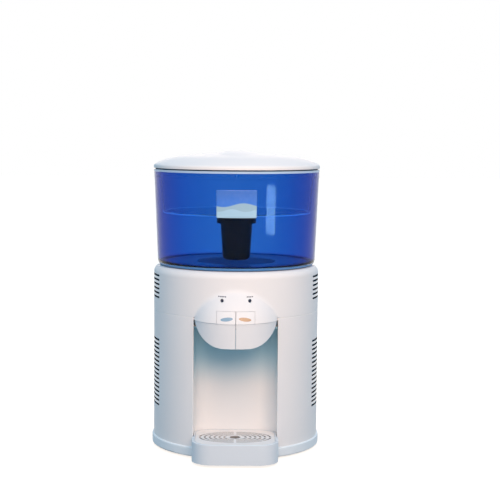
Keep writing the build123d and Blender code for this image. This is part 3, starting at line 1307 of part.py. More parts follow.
with BuildPart() as fan_rotor:
    rotor_back = FAN_BACK + FAN_SPOKE + FIT
    rotor_depth = FAN_DEPTH - 2 * FAN_SPOKE - FIT
    with BuildSketch(Plane.YZ.offset(rotor_back)):
        with Locations((0, STACK_HEIGHT)):
            Circle(FAN_HUB)
    extrude(amount=rotor_depth)
    blade_middle = rotor_back + rotor_depth / 2
    for blade in range(FAN_BLADES):
        turn = math.radians(360 / FAN_BLADES * blade)
        outward = Vector(0, math.cos(turn), math.sin(turn))
        hub_middle = Vector(blade_middle, 0, STACK_HEIGHT)
        for radius, pitch in ((FAN_HUB - WALL, BLADE_ROOT_PITCH), (FAN_BORE - FAN_TIP_GAP, BLADE_TIP_PITCH)):
            across = Vector(1, 0, 0).rotate(Axis((0, 0, 0), outward), pitch)
            chord = (rotor_depth - 2 * BLADE_MARGIN) / math.cos(math.radians(pitch))
            with BuildSketch(Plane(origin=hub_middle + outward * radius, x_dir=across, z_dir=outward)):
                Rectangle(chord, BLADE_THICKNESS)
        loft()
    with BuildSketch(Plane.YZ.offset(FAN_BACK)):
        with Locations((0, STACK_HEIGHT)):
            Circle(FAN_PIN + AXLE_CLEARANCE)
    extrude(amount=FAN_DEPTH, mode=Mode.SUBTRACT)
save(fan_rotor.part, "fan_rotor")

# Hot side: a steel tank on a stand, with a heater band and two thermostats
with BuildPart() as hot_tank:
    nipple_top = HOT_TOP + NIPPLE_LENGTH
    boiler(HOT_X, HOT_Y, HOT_RADIUS, HOT_BOTTOM, HOT_TOP)
    for x, y in ((HOT_X, HOT_Y), (HOT_TAP_X, HOT_TAP_Y)):
        upright(x, y, NIPPLE_RADIUS, HOT_TOP - TANK_SHEET / 2, nipple_top)
        upright(x, y, NIPPLE_BORE, HOT_TOP - TANK_ROUND, nipple_top, mode=Mode.SUBTRACT)
save(hot_tank.part, "hot_tank")

with BuildPart() as hot_tank_stand:
    upright(HOT_X, HOT_Y, STAND_RADIUS + STAND_FOOT, BASE_TOP, BASE_TOP + STAND_WALL)
    upright(HOT_X, HOT_Y, STAND_RADIUS, BASE_TOP, HOT_BOTTOM)
    upright(HOT_X, HOT_Y, STAND_RADIUS - STAND_WALL, BASE_TOP, HOT_BOTTOM, mode=Mode.SUBTRACT)
save(hot_tank_stand.part, "hot_tank_stand")

with BuildPart() as heater_band:
    heater_bottom = HOT_BOTTOM + HEATER_RISE
    upright(HOT_X, HOT_Y, HOT_RADIUS + HEATER_THICKNESS, heater_bottom, heater_bottom + HEATER_HEIGHT)
    upright(HOT_X, HOT_Y, HOT_RADIUS + TANK_CLEARANCE, HOT_BOTTOM, HOT_TOP, mode=Mode.SUBTRACT)
save(heater_band.part, "heater_band")

with BuildPart() as thermostats:
    thermostat_height = (HOT_TOP + HOT_BOTTOM + HEATER_RISE + HEATER_HEIGHT) / 2
    with BuildSketch(Plane.XZ.offset(-HOT_Y)):
        with Locations((HOT_X, thermostat_height)):
            with GridLocations(THERMOSTAT_SPACING, 0, 2, 1):
                Circle(THERMOSTAT_RADIUS)
    extrude(amount=-(HOT_RADIUS + THERMOSTAT_DEPTH))
    upright(HOT_X, HOT_Y, HOT_RADIUS + TANK_CLEARANCE, HOT_BOTTOM, HOT_TOP, mode=Mode.SUBTRACT)
save(thermostats.part, "thermostats")


def hose(name, points, bends):
    """A hose pushed over the nipples at both ends of its route."""
    with BuildPart() as tube_part:
        with BuildLine() as route:
            FilletPolyline(*points, radius=bends)
        with BuildSketch(Plane(origin=route.line @ 0, z_dir=route.line % 0)):
            Circle(HOSE_RADIUS)
            Circle(HOSE_BORE, mode=Mode.SUBTRACT)
        sweep()
    save(tube_part.part, name)


# Hoses: from the socket down to both tanks, and from the tanks up and forward to the taps
SOCKET_SIDE = SOCKET_OUTER + FIT
TAP_BACK = TAP_Y + TAP_BODY_RADIUS + FIT
COLD_HOSE_FOOT = JACKET_TOP + FIT
HOT_HOSE_FOOT = HOT_TOP + FIT
hose(
    "cold_feed_hose",
    [(-SOCKET_SIDE, 0, FEED_HEIGHT), (COLD_FEED_X, 0, FEED_HEIGHT), (COLD_FEED_X, 0, COLD_HOSE_FOOT)],
    min(HOSE_BEND, -SOCKET_SIDE - NIPPLE_LENGTH - COLD_FEED_X),
)
hose(
    "hot_feed_hose",
    [
        (SOCKET_SIDE, 0, FEED_HEIGHT),
        (SOCKET_SIDE + NIPPLE_LENGTH, 0, FEED_HEIGHT),
        (HOT_X, HOT_Y, FEED_HEIGHT),
        (HOT_X, HOT_Y, HOT_HOSE_FOOT),
    ],
    HOSE_BEND,
)
hose(
    "cold_tap_hose",
    [
        (-TAP_X, COLD_TAP_Y, COLD_HOSE_FOOT),
        (-TAP_X, COLD_TAP_Y, TAP_HOSE_HEIGHT),
        (-TAP_X, TAP_BACK, TAP_HOSE_HEIGHT),
    ],
    HOSE_BEND,
)
hose(
    "hot_tap_hose",
    [
        (HOT_TAP_X, HOT_TAP_Y, HOT_HOSE_FOOT),
        (HOT_TAP_X, HOT_TAP_Y, TAP_HOSE_HEIGHT),
        (TAP_X, TAP_Y + HOT_TURN, TAP_HOSE_HEIGHT),
        (TAP_X, TAP_BACK, TAP_HOSE_HEIGHT),
    ],
    HOSE_BEND,
)

# Power board: a board in the base's guides with a transformer and two capacitors
with BuildPart() as power_board:
    with Locations((POWER_BOARD_X, POWER_BOARD_Y, BASE_TOP)):
        Box(
            POWER_BOARD_WIDTH,
            BOARD_THICKNESS,
            POWER_BOARD_HEIGHT,
            align=(Align.CENTER, Align.CENTER, Align.MIN),
        )
    board_face = POWER_BOARD_Y + BOARD_THICKNESS / 2
    board_middle = BASE_TOP + POWER_BOARD_HEIGHT / 2
    with Locations((POWER_BOARD_X + TRANSFORMER_X, board_face, board_middle)):
        Box(
            TRANSFORMER_SIZE,
            TRANSFORMER_DEPTH,
            TRANSFORMER_SIZE,
            align=(Align.CENTER, Align.MIN, Align.CENTER),
        )
    with BuildSketch(Plane.XZ.offset(-board_face)):
        with Locations((POWER_BOARD_X + CAPACITOR_X, board_middle)):
            with GridLocations(0, CAPACITOR_SPACING, 1, 2):
                Circle(CAPACITOR_RADIUS)
    extrude(amount=-CAPACITOR_LENGTH)
save(power_board.part, "power_board")

# Rear panel: a recessed box in the back wall that holds the inlet and the switches
with BuildPart() as rear_panel:
    with BuildSketch(Plane.XZ.offset(-PANEL_Y)):
        with Locations((0, PANEL_CENTRE)):
            Rectangle(PANEL_WIDTH + 2 * WALL, PANEL_HEIGHT + 2 * WALL)
    extrude(amount=-BODY_RADIUS)
    with BuildSketch(Plane.XZ.offset(-PANEL_Y - WALL)):
        with Locations((0, PANEL_CENTRE)):
            Rectangle(PANEL_WIDTH, PANEL_HEIGHT)
    extrude(amount=-BODY_RADIUS, mode=Mode.SUBTRACT)
    with BuildSketch(Plane.XY):
        Circle(INNER_RADIUS - FIT)
    extrude(amount=DECK_HEIGHT, mode=Mode.INTERSECT)
    with BuildSketch(Plane.XZ):
        with Locations((0, INLET_Z)):
            Rectangle(INLET_WIDTH + 2 * FIT, INLET_HEIGHT + 2 * FIT)
        with Locations((0, SWITCH_Z)):
            with GridLocations(2 * SWITCH_X, 0, 2, 1):
                Rectangle(SWITCH_WIDTH + 2 * FIT, SWITCH_HEIGHT + 2 * FIT)
    extrude(amount=-2 * BODY_RADIUS, mode=Mode.SUBTRACT)
save(rear_panel.part, "rear_panel")

with BuildPart() as power_inlet:
    with BuildSketch(Plane.XZ.offset(-PANEL_FACE)):
        with Locations((0, INLET_Z)):
            Rectangle(INLET_WIDTH + 2 * INLET_FLANGE, INLET_HEIGHT + 2 * INLET_FLANGE)
    extrude(amount=-INLET_FLANGE)
    with BuildSketch(Plane.XZ.offset(-PANEL_FACE)):
        with Locations((0, INLET_Z)):
            Rectangle(INLET_WIDTH, INLET_HEIGHT)
    extrude(amount=INLET_DEPTH)
    with BuildSketch(Plane.XZ.offset(-PANEL_FACE - INLET_FLANGE)) as inlet_mouth:
        with Locations((0, INLET_Z)):
            Rectangle(INLET_WIDTH - 2 * WALL, INLET_HEIGHT - 2 * WALL)
        chamfer(inlet_mouth.vertices().group_by(Axis.Y)[-1], WALL)
    extrude(amount=INLET_DEPTH, mode=Mode.SUBTRACT)
    with BuildSketch(Plane.XZ.offset(-PANEL_FACE - INLET_FLANGE + INLET_DEPTH)):
        with Locations((0, INLET_Z)):
            with GridLocations(PIN_SPACING, 0, 3, 1):
                Rectangle(PIN_WIDTH, PIN_HEIGHT)
    extrude(amount=-PIN_LENGTH)
save(power_inlet.part, "power_inlet")

# Switches: each is a frame in the panel with a rocker on two pivot pins
ROCKER_FACE = PANEL_FACE + WALL
ROCKER_PIVOT = ROCKER_FACE - ROCKER_PROUD
ROCKER_ROOM = SWITCH_WIDTH - WALL
ROCKER_WIDTH = ROCKER_ROOM - 2 * ROCKER_GAP
for name, side in SIDES.items():
    with BuildPart() as switch_case:
        with BuildSketch(Plane.XZ.offset(-PANEL_FACE)):
            with Locations((side * SWITCH_X, SWITCH_Z)):
                Rectangle(SWITCH_WIDTH + 2 * WALL, SWITCH_FRAME)
        extrude(amount=-WALL)
        with BuildSketch(Plane.XZ.offset(-PANEL_FACE)):
            with Locations((side * SWITCH_X, SWITCH_Z)):
                Rectangle(SWITCH_WIDTH, SWITCH_HEIGHT)
        extrude(amount=SWITCH_DEPTH)
        with BuildSketch(Plane.XZ.offset(-ROCKER_FACE)):
            with Locations((side * SWITCH_X, SWITCH_Z)):
                Rectangle(ROCKER_ROOM, SWITCH_HEIGHT - WALL)
        extrude(amount=SWITCH_DEPTH, mode=Mode.SUBTRACT)
        with BuildSketch(Plane.YZ.offset(side * SWITCH_X)):
            with Locations((ROCKER_PIVOT, SWITCH_Z)):
                Circle(PIVOT_RADIUS + PIVOT_CLEARANCE)
        extrude(amount=ROCKER_ROOM / 2 + PIVOT_DEPTH, both=True, mode=Mode.SUBTRACT)
    save(switch_case.part, f"{name}_switch_case")

    with BuildPart() as rocker:
        half_height = (SWITCH_HEIGHT - WALL) / 2 - ROCKER_END_GAP
        with BuildSketch(Plane.YZ.offset(side * SWITCH_X)):
            with BuildLine():
                ThreePointArc(
                    (ROCKER_FACE + ROCKER_PROUD, SWITCH_Z - half_height),
                    (ROCKER_FACE, SWITCH_Z),
                    (ROCKER_FACE + ROCKER_PROUD, SWITCH_Z + half_height),
                )
                ThreePointArc(
                    (ROCKER_FACE + ROCKER_PROUD, SWITCH_Z + half_height),
                    (ROCKER_FACE - ROCKER_BACK, SWITCH_Z),
                    (ROCKER_FACE + ROCKER_PROUD, SWITCH_Z - half_height),
                )
            make_face()
        extrude(amount=ROCKER_WIDTH / 2, both=True)
        with BuildSketch(Plane.YZ.offset(side * SWITCH_X)):
            with Locations((ROCKER_PIVOT, SWITCH_Z)):
                Circle(PIVOT_RADIUS)
        extrude(amount=ROCKER_ROOM / 2 + PIVOT_DEPTH - ROCKER_GAP, both=True)
    pivot = Axis((0, ROCKER_PIVOT, SWITCH_Z), (1, 0, 0))
    save(rocker.part.rotate(pivot, -ROCKER_TILT), f"{name}_switch")
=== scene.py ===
import json
import math

import bmesh
import bpy
import numpy as np
from mathutils import Matrix, Vector


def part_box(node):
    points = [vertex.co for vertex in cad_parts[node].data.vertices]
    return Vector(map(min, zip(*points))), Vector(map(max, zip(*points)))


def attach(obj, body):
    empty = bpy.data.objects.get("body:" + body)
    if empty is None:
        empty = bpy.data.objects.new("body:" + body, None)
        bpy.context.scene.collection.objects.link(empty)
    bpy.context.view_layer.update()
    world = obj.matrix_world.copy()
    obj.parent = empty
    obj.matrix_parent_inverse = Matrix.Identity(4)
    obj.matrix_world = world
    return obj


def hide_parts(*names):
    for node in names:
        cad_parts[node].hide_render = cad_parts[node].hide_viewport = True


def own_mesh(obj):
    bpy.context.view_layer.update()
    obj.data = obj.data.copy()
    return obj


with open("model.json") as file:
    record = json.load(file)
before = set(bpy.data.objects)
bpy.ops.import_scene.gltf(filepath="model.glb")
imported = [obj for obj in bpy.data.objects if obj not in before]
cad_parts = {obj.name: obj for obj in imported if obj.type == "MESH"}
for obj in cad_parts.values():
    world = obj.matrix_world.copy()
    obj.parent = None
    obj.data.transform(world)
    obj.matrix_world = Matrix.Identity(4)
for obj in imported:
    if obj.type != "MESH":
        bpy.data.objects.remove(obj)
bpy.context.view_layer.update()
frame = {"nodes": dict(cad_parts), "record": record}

bl_info = {
    "name": "Water Filter Dispenser",
    "version": (1, 0, 0),
    "blender": (4, 5, 0),
    "location": "View3D > Sidebar > Dispenser",
    "description": "Dresses a bench-top water filter dispenser in its finishes",
    "category": "Object",
}

# What the frame says of the solids. All lengths are in metres.
NODE_SLOT = {part["node"]: part["material_slot"] for part in frame["record"]["subparts"]}
BODY_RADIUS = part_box("upper_housing")[1][0]
TANK_FOOT_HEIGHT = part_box("upper_housing")[1][2]
TANK_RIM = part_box("water_tank")[1]
CHAMBER_FOOT, CHAMBER_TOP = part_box("raw_water_chamber")
LIGHT_PLACE = np.mean([tuple(corner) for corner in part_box("hot_light")], axis=0)
NOSE_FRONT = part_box("hot_button")[0][1]
GRILLE_LOW, GRILLE_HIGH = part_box("drip_grille")
GRILLE_MIDDLE = (GRILLE_LOW[1] + GRILLE_HIGH[1]) / 2

# A hair is less than any step of the shapes, and keeps a mask off the edge of its neighbour.
HAIR = 0.0001

# Radius and height of three points on the nose's dome, from its crease up.
NOSE_ARC = np.array([(0.0679, 0.2195), (0.0554, 0.2460), (0.0309, 0.2680)])

# The seam between the two housings, and the half height that its groove takes up.
HOUSING_LAP = 0.004
SEAM_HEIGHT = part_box("lower_housing")[1][2] - HOUSING_LAP
SEAM_REACH = 0.005

# The side vents: rows of slots, beyond a share of the radius and below the shoulder, with shade
# painted on the slots' walls. The skin faces straight out by at least this cosine, and a slot's
# walls don't.
LOWER_VENT_ROWS, UPPER_VENT_ROWS = 16, 6
VENT_SIDE = 0.85
SHOULDER_DROP = 0.0115
SKIN_FACING = 0.8

# The niche's ceiling, the top of its plate, and how far below it the painted shade, a cool tone,
# starts and is full.
NICHE_TOP = 0.206
CEILING_TOP = 0.2085
SHADE_START, SHADE_FULL = 0.105, 0.03

# The oval that holds the grille's slots, inside the rim at its sides and ends, with shade painted
# on the slots' walls. A slot's walls face up or down by less than this cosine.
GRILLE_SIDE_RIM, GRILLE_END_RIM = 0.0039, 0.0113
SLOTS_HALF_WIDTH = GRILLE_HIGH[0] - GRILLE_SIDE_RIM
SLOTS_HALF_DEPTH = GRILLE_HIGH[1] - GRILLE_MIDDLE - GRILLE_END_RIM
LEVEL_FACING = 0.5

# The groove between the chamber's flange and the lid's rim, where shade is painted.
LID_GAP = 0.002

# The tank: density of its blue, reach of its foot ring inside the rim's radius, and heights over
# the deck between which the foot's edge, the foot and the floor fade, with their strengths. Painted
# shade darkens the foot's edge, and painted light makes the foot and the floor pale.
TANK_DENSITY = 750.0
FOOT_RING_REACH = 0.018
FOOT_EDGE_FADE = (0.0008, 0.0024)
FOOT_FADE, FOOT_STRENGTH = (0.0045, 0.0062), 0.85
FLOOR_FADE, FLOOR_STRENGTH = (0.0075, 0.0085), 0.8

# The chamber: fade of its flange below the tank's rim, and the line round its floor, a painted
# glow, which is this high and starts at a share of the flange's radius.
FLANGE_FADE, FLANGE_STRENGTH = 0.0004, 0.9
FLOOR_LINE_HEIGHT, FLOOR_LINE_START, FLOOR_LINE_STRENGTH = 0.0012, 0.86, 0.8

# How far roughness strays: both ways on moulded plastic and metal, and upwards on clear plastic.
PLASTIC_STRAY, METAL_STRAY, CLEAR_STRAY = 0.06, 0.1, 0.03

# Patterns in radians per metre: the dust screens' threads, and the board's tracks with the level of
# their sine at which a track starts.
THREAD_TURN = 5200.0
TRACK_TURN_ACROSS, TRACK_LEVEL_ACROSS = 2600.0, 0.82
TRACK_TURN_UP, TRACK_LEVEL_UP = 2100.0, 0.86

# The label's waves: count over its width, start in radians, swell and level as shares of its
# height, and tone. A wave's edge and the fade of the field over it are shares of the height too.
WAVES = (
    {"count": 1.0, "start": 0.5, "swell": 0.07, "level": 0.46, "tone": 0.80},
    {"count": 1.5, "start": 2.6, "swell": 0.05, "level": 0.27, "tone": 1.0},
)
WAVE_EDGE = 0.015
FIELD_FADE = (0.45, 1.0)
FLECK_COLOUR, FLECK_STRENGTH = (0.9, 0.9, 0.9), 0.06

# Dashes over each light, and how far a dash may move to lie on the nose.
COLD_DASHES, HOT_DASHES = 5, 4
NOSE_REACH = 0.01

# Points of the grids, columns by rows, and the distance within which the points of a seam join.
SPRING_STEPS, WIRE_STEPS = 97, 11
SCREEN_GRID = (33, 9)
LABEL_GRID = (49, 33)
MARK_GRID = (5, 4)
BAR_STEPS = 25
SEAM_JOIN = 1e-6

# The stage: the counter with the tone that is seen of it, the light of the world, and the lamps.
BLACK, WHITE = (0.0, 0.0, 0.0), (1.0, 1.0, 1.0)
COUNTER_HALF = 12.0
COUNTER_DARK, COUNTER_LIGHT = (0.29, 0.29, 0.29), (0.31, 0.31, 0.31)
COUNTER_SEEN = (0.90, 0.845, 0.79)
WORLD_LIGHT = (0.235, 0.51, 0.735)
WARM_LIGHT, COOL_LIGHT = (1.0, 0.71, 0.53), (0.52, 0.90, 1.0)
SENSOR_WIDTH = 36.0


class Wire:
    """A shader value. Python's operators on it add Math nodes to its finish."""

    def __init__(self, finish, socket):
        self.finish = finish
        self.socket = socket

    def outputs(self, keys):
        """Several outputs of the node that this value comes from."""
        return [Wire(self.finish, self.socket.node.outputs[key]) for key in keys]

    def math(self, operation, *others):
        values = dict(enumerate((self, *others)))
        return self.finish.node("ShaderNodeMath", {"operation": operation}, values)

    def flipped(self, operation, other):
        return self.finish.node("ShaderNodeMath", {"operation": operation}, {0: other, 1: self})

    def __add__(self, other):
        return self.math("ADD", other)

    __radd__ = __add__

    def __sub__(self, other):
        return self.math("SUBTRACT", other)

    def __rsub__(self, other):
        return self.flipped("SUBTRACT", other)

    def __mul__(self, other):
        return self.math("MULTIPLY", other)

    __rmul__ = __mul__

    def __truediv__(self, other):
        return self.math("DIVIDE", other)

    def __rtruediv__(self, other):
        return self.flipped("DIVIDE", other)

    def __gt__(self, other):
        return self.math("GREATER_THAN", other)

    def __lt__(self, other):
        return self.math("LESS_THAN", other)

    def clamp(self, low=0.0, high=1.0):
        return self.math("MAXIMUM", low).math("MINIMUM", high)

    def smooth(self, low, high):
        """Rises smoothly from 0 at low to 1 at high."""
        settings = {"interpolation_type": "SMOOTHSTEP"}
        values = {0: self, 1: low, 2: high, 3: 0.0, 4: 1.0}
        return self.finish.node("ShaderNodeMapRange", settings, values)


class Finish:
    """The nodes of a material or of the world, added by expressions on Wires."""

    def __init__(self, owner):
        owner.use_nodes = True
        self.owner = owner
        self.tree = owner.node_tree
        self.shader = self.tree.nodes.get("Principled BSDF") or self.tree.nodes["Background"]

    @classmethod
    def new(cls, name):
        """The finish of a new material."""
        return cls(bpy.data.materials.new(name))

    def plug(self, socket, value):
        """Links a Wire to a socket, or sets the socket's own value."""
        if isinstance(value, Wire):
            self.tree.links.new(value.socket, socket)
        elif isinstance(value, tuple) and len(value) == 3 and len(socket.default_value) == 4:
            socket.default_value = (*value, 1.0)
        else:
            socket.default_value = value

    def node(self, kind, settings=None, inputs=None, output=0):
        """Adds a node, sets its settings and then its sockets, and gives one of its outputs."""
        made = self.tree.nodes.new(kind)
        for key, value in (settings or {}).items():
            setattr(made, key, value)
        for key, value in (inputs or {}).items():
            self.plug(made.inputs[key], value)
        return Wire(self, made.outputs[output])

    def set(self, **values):
        """Sets the shader's sockets by name, with underscores for spaces."""
        for key, value in values.items():
            self.plug(self.shader.inputs[key.replace("_", " ")], value)

    def end(self, socket, value):
        """Links a Wire to a socket of the material's output."""
        self.plug(self.tree.nodes["Material Output"].inputs[socket], value)

    def layer(self, factor, **values):
        """Lays a second shader over the first one where the factor is 1."""
        under = Wire(self, self.shader.outputs[0])
        named = {key.replace("_", " "): value for key, value in values.items()}
        over = self.node("ShaderNodeBsdfPrincipled", {}, named)
        self.end("Surface", self.node("ShaderNodeMixShader", {}, {0: factor, 1: under, 2: over}))

    def place(self):
        return self.node("ShaderNodeTexCoord", output="Object")

    def parts(self, vector):
        """The X, Y and Z of a vector as three Wires."""
        return self.node("ShaderNodeSeparateXYZ", {}, {0: vector}).outputs(range(3))

    def spot(self):
        """The place on the object: across, deep and up."""
        return self.parts(self.place())

    def facing(self):
        """The way a surface faces: across, deep and up."""
        return self.parts(self.node("ShaderNodeTexCoord", output="Normal"))

    def noise(self, scale, detail=3.0, stretch=None):
        """Soft noise of about 0 to 1, in features per metre, drawn out along an axis by stretch."""
        vector = self.place()
        if stretch:
            vector = self.node("ShaderNodeMapping", {}, {"Vector": vector, "Scale": stretch})
        values = {"Vector": vector, "Scale": scale, "Detail": detail}
        return self.node("ShaderNodeTexNoise", {}, values)

    def mix(self, factor, first, second):
        """A colour between two colours."""
        values = {0: factor, 6: first, 7: second}
        return self.node("ShaderNodeMix", {"data_type": "RGBA"}, values, output=2)

    def drift(self, share, colour, start, end):
        """A colour that goes from one shade of itself to another."""
        return self.mix(share, shade(colour, start), shade(colour, end))

    def uneven(self, share, low, high):
        """A roughness between a low and a high one."""
        return (share * (high - low) + low).clamp()

    def bump(self, height, strength, distance):
        values = {"Height": height, "Strength": strength, "Distance": distance}
        self.set(Normal=self.node("ShaderNodeBump", {}, values))


def shade(colour, factor=1.0):
    """A colour made lighter or darker by a factor, as a tuple."""
    return tuple(min(1.0, channel * factor) for channel in colour)


def from_axis(across, deep):
    """Distance from the body's axis."""
    return (across * across + deep * deep).math("SQRT")


def vent_wall_shade(finish):
    """1 on the walls of the side vents, where shade is painted; they don't face straight out as the
    body's skin does.
    """
    across, deep, up = finish.spot()
    radius = from_axis(across, deep)
    facing_across, facing_deep, _ = finish.facing()
    wall = (across * facing_across + deep * facing_deep) / radius < SKIN_FACING
    inside = radius < BODY_RADIUS - 2 * HAIR
    side = across.math("ABSOLUTE") > BODY_RADIUS * VENT_SIDE
    clear_of_seam = (up - SEAM_HEIGHT).math("ABSOLUTE") > SEAM_REACH
    below_shoulder = up < TANK_FOOT_HEIGHT - SHOULDER_DROP
    return inside * wall * side * clear_of_seam * below_shoulder


def below_crease(finish):
    """1 on a button's apron, which hangs below the nose's crease and is painted a darker white as
    shade.
    """
    return finish.spot()[2] < NOSE_ARC[0][1] - 2 * HAIR


def niche_shade(finish):
    """Rises to 1 towards the niche's ceiling, where a cool tone paints its shade."""
    return finish.spot()[2].smooth(NICHE_TOP - SHADE_START, NICHE_TOP - SHADE_FULL)


def ceiling_edge_shade(finish):
    """1 on the front edge of the niche's ceiling, which is painted dark as shade."""
    return finish.spot()[2] > NICHE_TOP + HAIR


def niche_cheeks_painted_light(finish):
    """1 on the niche panel's cheeks, which stand on its ceiling behind the buttons' aprons and are
    painted pale as light in their recess.
    """
    return finish.spot()[2] > CEILING_TOP - HAIR


def grille_slot_shade(finish):
    """1 on the walls of the grille's slots and drain, which lie in an oval and are painted grey as
    shade.
    """
    across, deep, _ = finish.spot()
    wide = across / SLOTS_HALF_WIDTH
    long = (deep - GRILLE_MIDDLE) / SLOTS_HALF_DEPTH
    wall = finish.facing()[2].math("ABSOLUTE") < LEVEL_FACING
    return (wide * wide + long * long < 1.0) * wall


def lid_groove_shade(finish):
    """1 on the lid's step, which forms the groove between its rim and the chamber's flange, painted
    dark as shade.
    """
    return finish.spot()[2] < CHAMBER_TOP[2] + LID_GAP


def moulded_plastic(name, colour, roughness, coat=0.0, grain=0.02, zones=()):
    """Moulded plastic: slow tone drift, uneven gloss and a fine mould grain.

    Each zone is a mask and the colour that it takes.
    """
    finish = Finish.new(name)
    tone = finish.drift(finish.noise(scale=9.0, detail=2.0), colour, start=0.965, end=1.02)
    for mask, zone_colour in zones:
        tone = finish.mix(mask(finish), tone, shade(zone_colour))
    low, high = roughness - PLASTIC_STRAY, roughness + PLASTIC_STRAY
    finish.set(
        Base_Color=tone,
        Roughness=finish.uneven(finish.noise(scale=38.0), low, high),
        Specular_IOR_Level=0.07,
        Coat_Weight=coat,
        Coat_Roughness=0.12,
    )
    finish.bump(finish.noise(scale=700.0, detail=2.0), strength=grain, distance=0.0004)
    return finish.owner


def clear_plastic(name, colour, roughness, bend):
    """Tinted clear plastic: light takes its tint, with faint flow marks from the mould."""
    finish = Finish.new(name)
    flow = finish.noise(scale=14.0, detail=2.0, stretch=(1.0, 1.0, 0.15))
    finish.set(
        Base_Color=finish.drift(flow, colour, start=0.96, end=1.04),
        Roughness=finish.uneven(finish.noise(scale=60.0), roughness, roughness + CLEAR_STRAY),
        Transmission_Weight=1.0,
        IOR=bend,
    )
    return finish


def tank_clear(name, looks):
    """The tank's blue lies in its wall, so its edges are deep.

    Pale layers paint the light on its thick foot and its floor, and painted shade darkens the
    foot's lowest edge.
    """
    finish = clear_plastic(name, colour=(0.96, 0.96, 0.96), roughness=0.02, bend=1.2)
    blue = {"Color": shade(looks.tank_colour), "Density": TANK_DENSITY}
    finish.end("Volume", finish.node("ShaderNodeVolumeAbsorption", {}, blue))
    across, deep, up = finish.spot()
    height = up - TANK_FOOT_HEIGHT
    inside = from_axis(across, deep) < TANK_RIM[0] - FOOT_RING_REACH
    foot = (1.0 - height.smooth(*FOOT_FADE)) * (1.0 - inside) * FOOT_STRENGTH
    floor = (1.0 - height.smooth(*FLOOR_FADE)) * inside * FLOOR_STRENGTH
    edge_shade_tone, ring_light_tone = shade(looks.foot_edge_shade_colour), shade(looks.foot_painted_light_colour)
    foot_light_and_shade_tone = finish.mix(height.smooth(*FOOT_EDGE_FADE), edge_shade_tone, ring_light_tone)
    finish.layer(
        foot.math("MAXIMUM", floor),
        Base_Color=finish.mix(inside, foot_light_and_shade_tone, shade(looks.tank_floor_painted_light_colour)),
        Roughness=0.25,
    )
    return finish.owner


def chamber_clear(name, looks):
    """The chamber's clear plastic, with a pale flange and a pale line round its floor that glows as
    painted light.
    """
    finish = clear_plastic(name, looks.chamber_colour, roughness=0.03, bend=1.04)
    across, deep, up = finish.spot()
    flange = up.smooth(TANK_RIM[2] - FLANGE_FADE, TANK_RIM[2]) * FLANGE_STRENGTH
    outer = from_axis(across, deep) > CHAMBER_TOP[0] * FLOOR_LINE_START
    floor_line = (up < CHAMBER_FOOT[2] + FLOOR_LINE_HEIGHT) * outer
    finish.layer(
        flange.math("MAXIMUM", floor_line * FLOOR_LINE_STRENGTH),
        Base_Color=shade(looks.flange_colour),
        Roughness=0.3,
        Emission_Color=finish.mix(floor_line, BLACK, shade(looks.floor_line_painted_glow)),
        Emission_Strength=1.0,
    )
    return finish.owner


def brushed_metal(name, colour, roughness, stretch):
    """Metal with fine brush lines drawn out along one axis."""
    finish = Finish.new(name)
    lines = finish.noise(scale=900.0, detail=4.0, stretch=stretch)
    finish.set(
        Base_Color=finish.drift(lines, colour, start=0.86, end=1.08),
        Roughness=finish.uneven(lines, roughness - METAL_STRAY, roughness + METAL_STRAY),
        Metallic=1.0,
    )
    finish.bump(lines, strength=0.08, distance=0.0003)
    return finish.owner


def soft_rubber(name, colour):
    """Rubber or soft hose: matt, with a dusty bloom and a fine pebble."""
    finish = Finish.new(name)
    bloom = finish.noise(scale=26.0)
    finish.set(
        Base_Color=finish.drift(bloom, colour, start=0.85, end=1.25),
        Roughness=finish.uneven(bloom, low=0.62, high=0.82),
    )
    finish.bump(finish.noise(scale=1200.0), strength=0.12, distance=0.0005)
    return finish.owner


def shade_screen(name, colour):
    """A dark open-weave sheet that paints the shade behind the vents: crossing threads, paler than
    the dark between them.
    """
    finish = Finish.new(name)
    _, deep, up = finish.spot()
    upright, level = (deep * THREAD_TURN).math("SINE"), (up * THREAD_TURN).math("SINE")
    threads = upright.math("MAXIMUM", level).clamp()
    finish.set(
        Base_Color=finish.drift(threads, colour, start=0.7, end=1.4),
        Roughness=finish.uneven(finish.noise(scale=80.0), low=0.75, high=0.90),
        Specular_IOR_Level=0.1,
    )
    return finish.owner


def cell_foam(name, colour):
    """Closed-cell foam: small pits with lighter walls."""
    finish = Finish.new(name)
    values = {"Vector": finish.place(), "Scale": 420.0}
    cells = finish.node("ShaderNodeTexVoronoi", {}, values)
    finish.set(
        Base_Color=finish.drift(cells.clamp(), colour, start=0.7, end=1.3),
        Roughness=finish.uneven(cells, low=0.85, high=0.95),
    )
    finish.bump(cells, strength=0.4, distance=0.0008)
    return finish.owner


def circuit_board(name, colour):
    """Lacquered board with a grid of paler tracks."""
    finish = Finish.new(name)
    across, _, up = finish.spot()
    upright = (across * TRACK_TURN_ACROSS).math("SINE") > TRACK_LEVEL_ACROSS
    level = (up * TRACK_TURN_UP).math("SINE") > TRACK_LEVEL_UP
    finish.set(
        Base_Color=finish.drift(upright.math("MAXIMUM", level), colour, start=0.8, end=1.9),
        Roughness=finish.uneven(finish.noise(scale=300.0), low=0.30, high=0.45),
    )
    return finish.owner


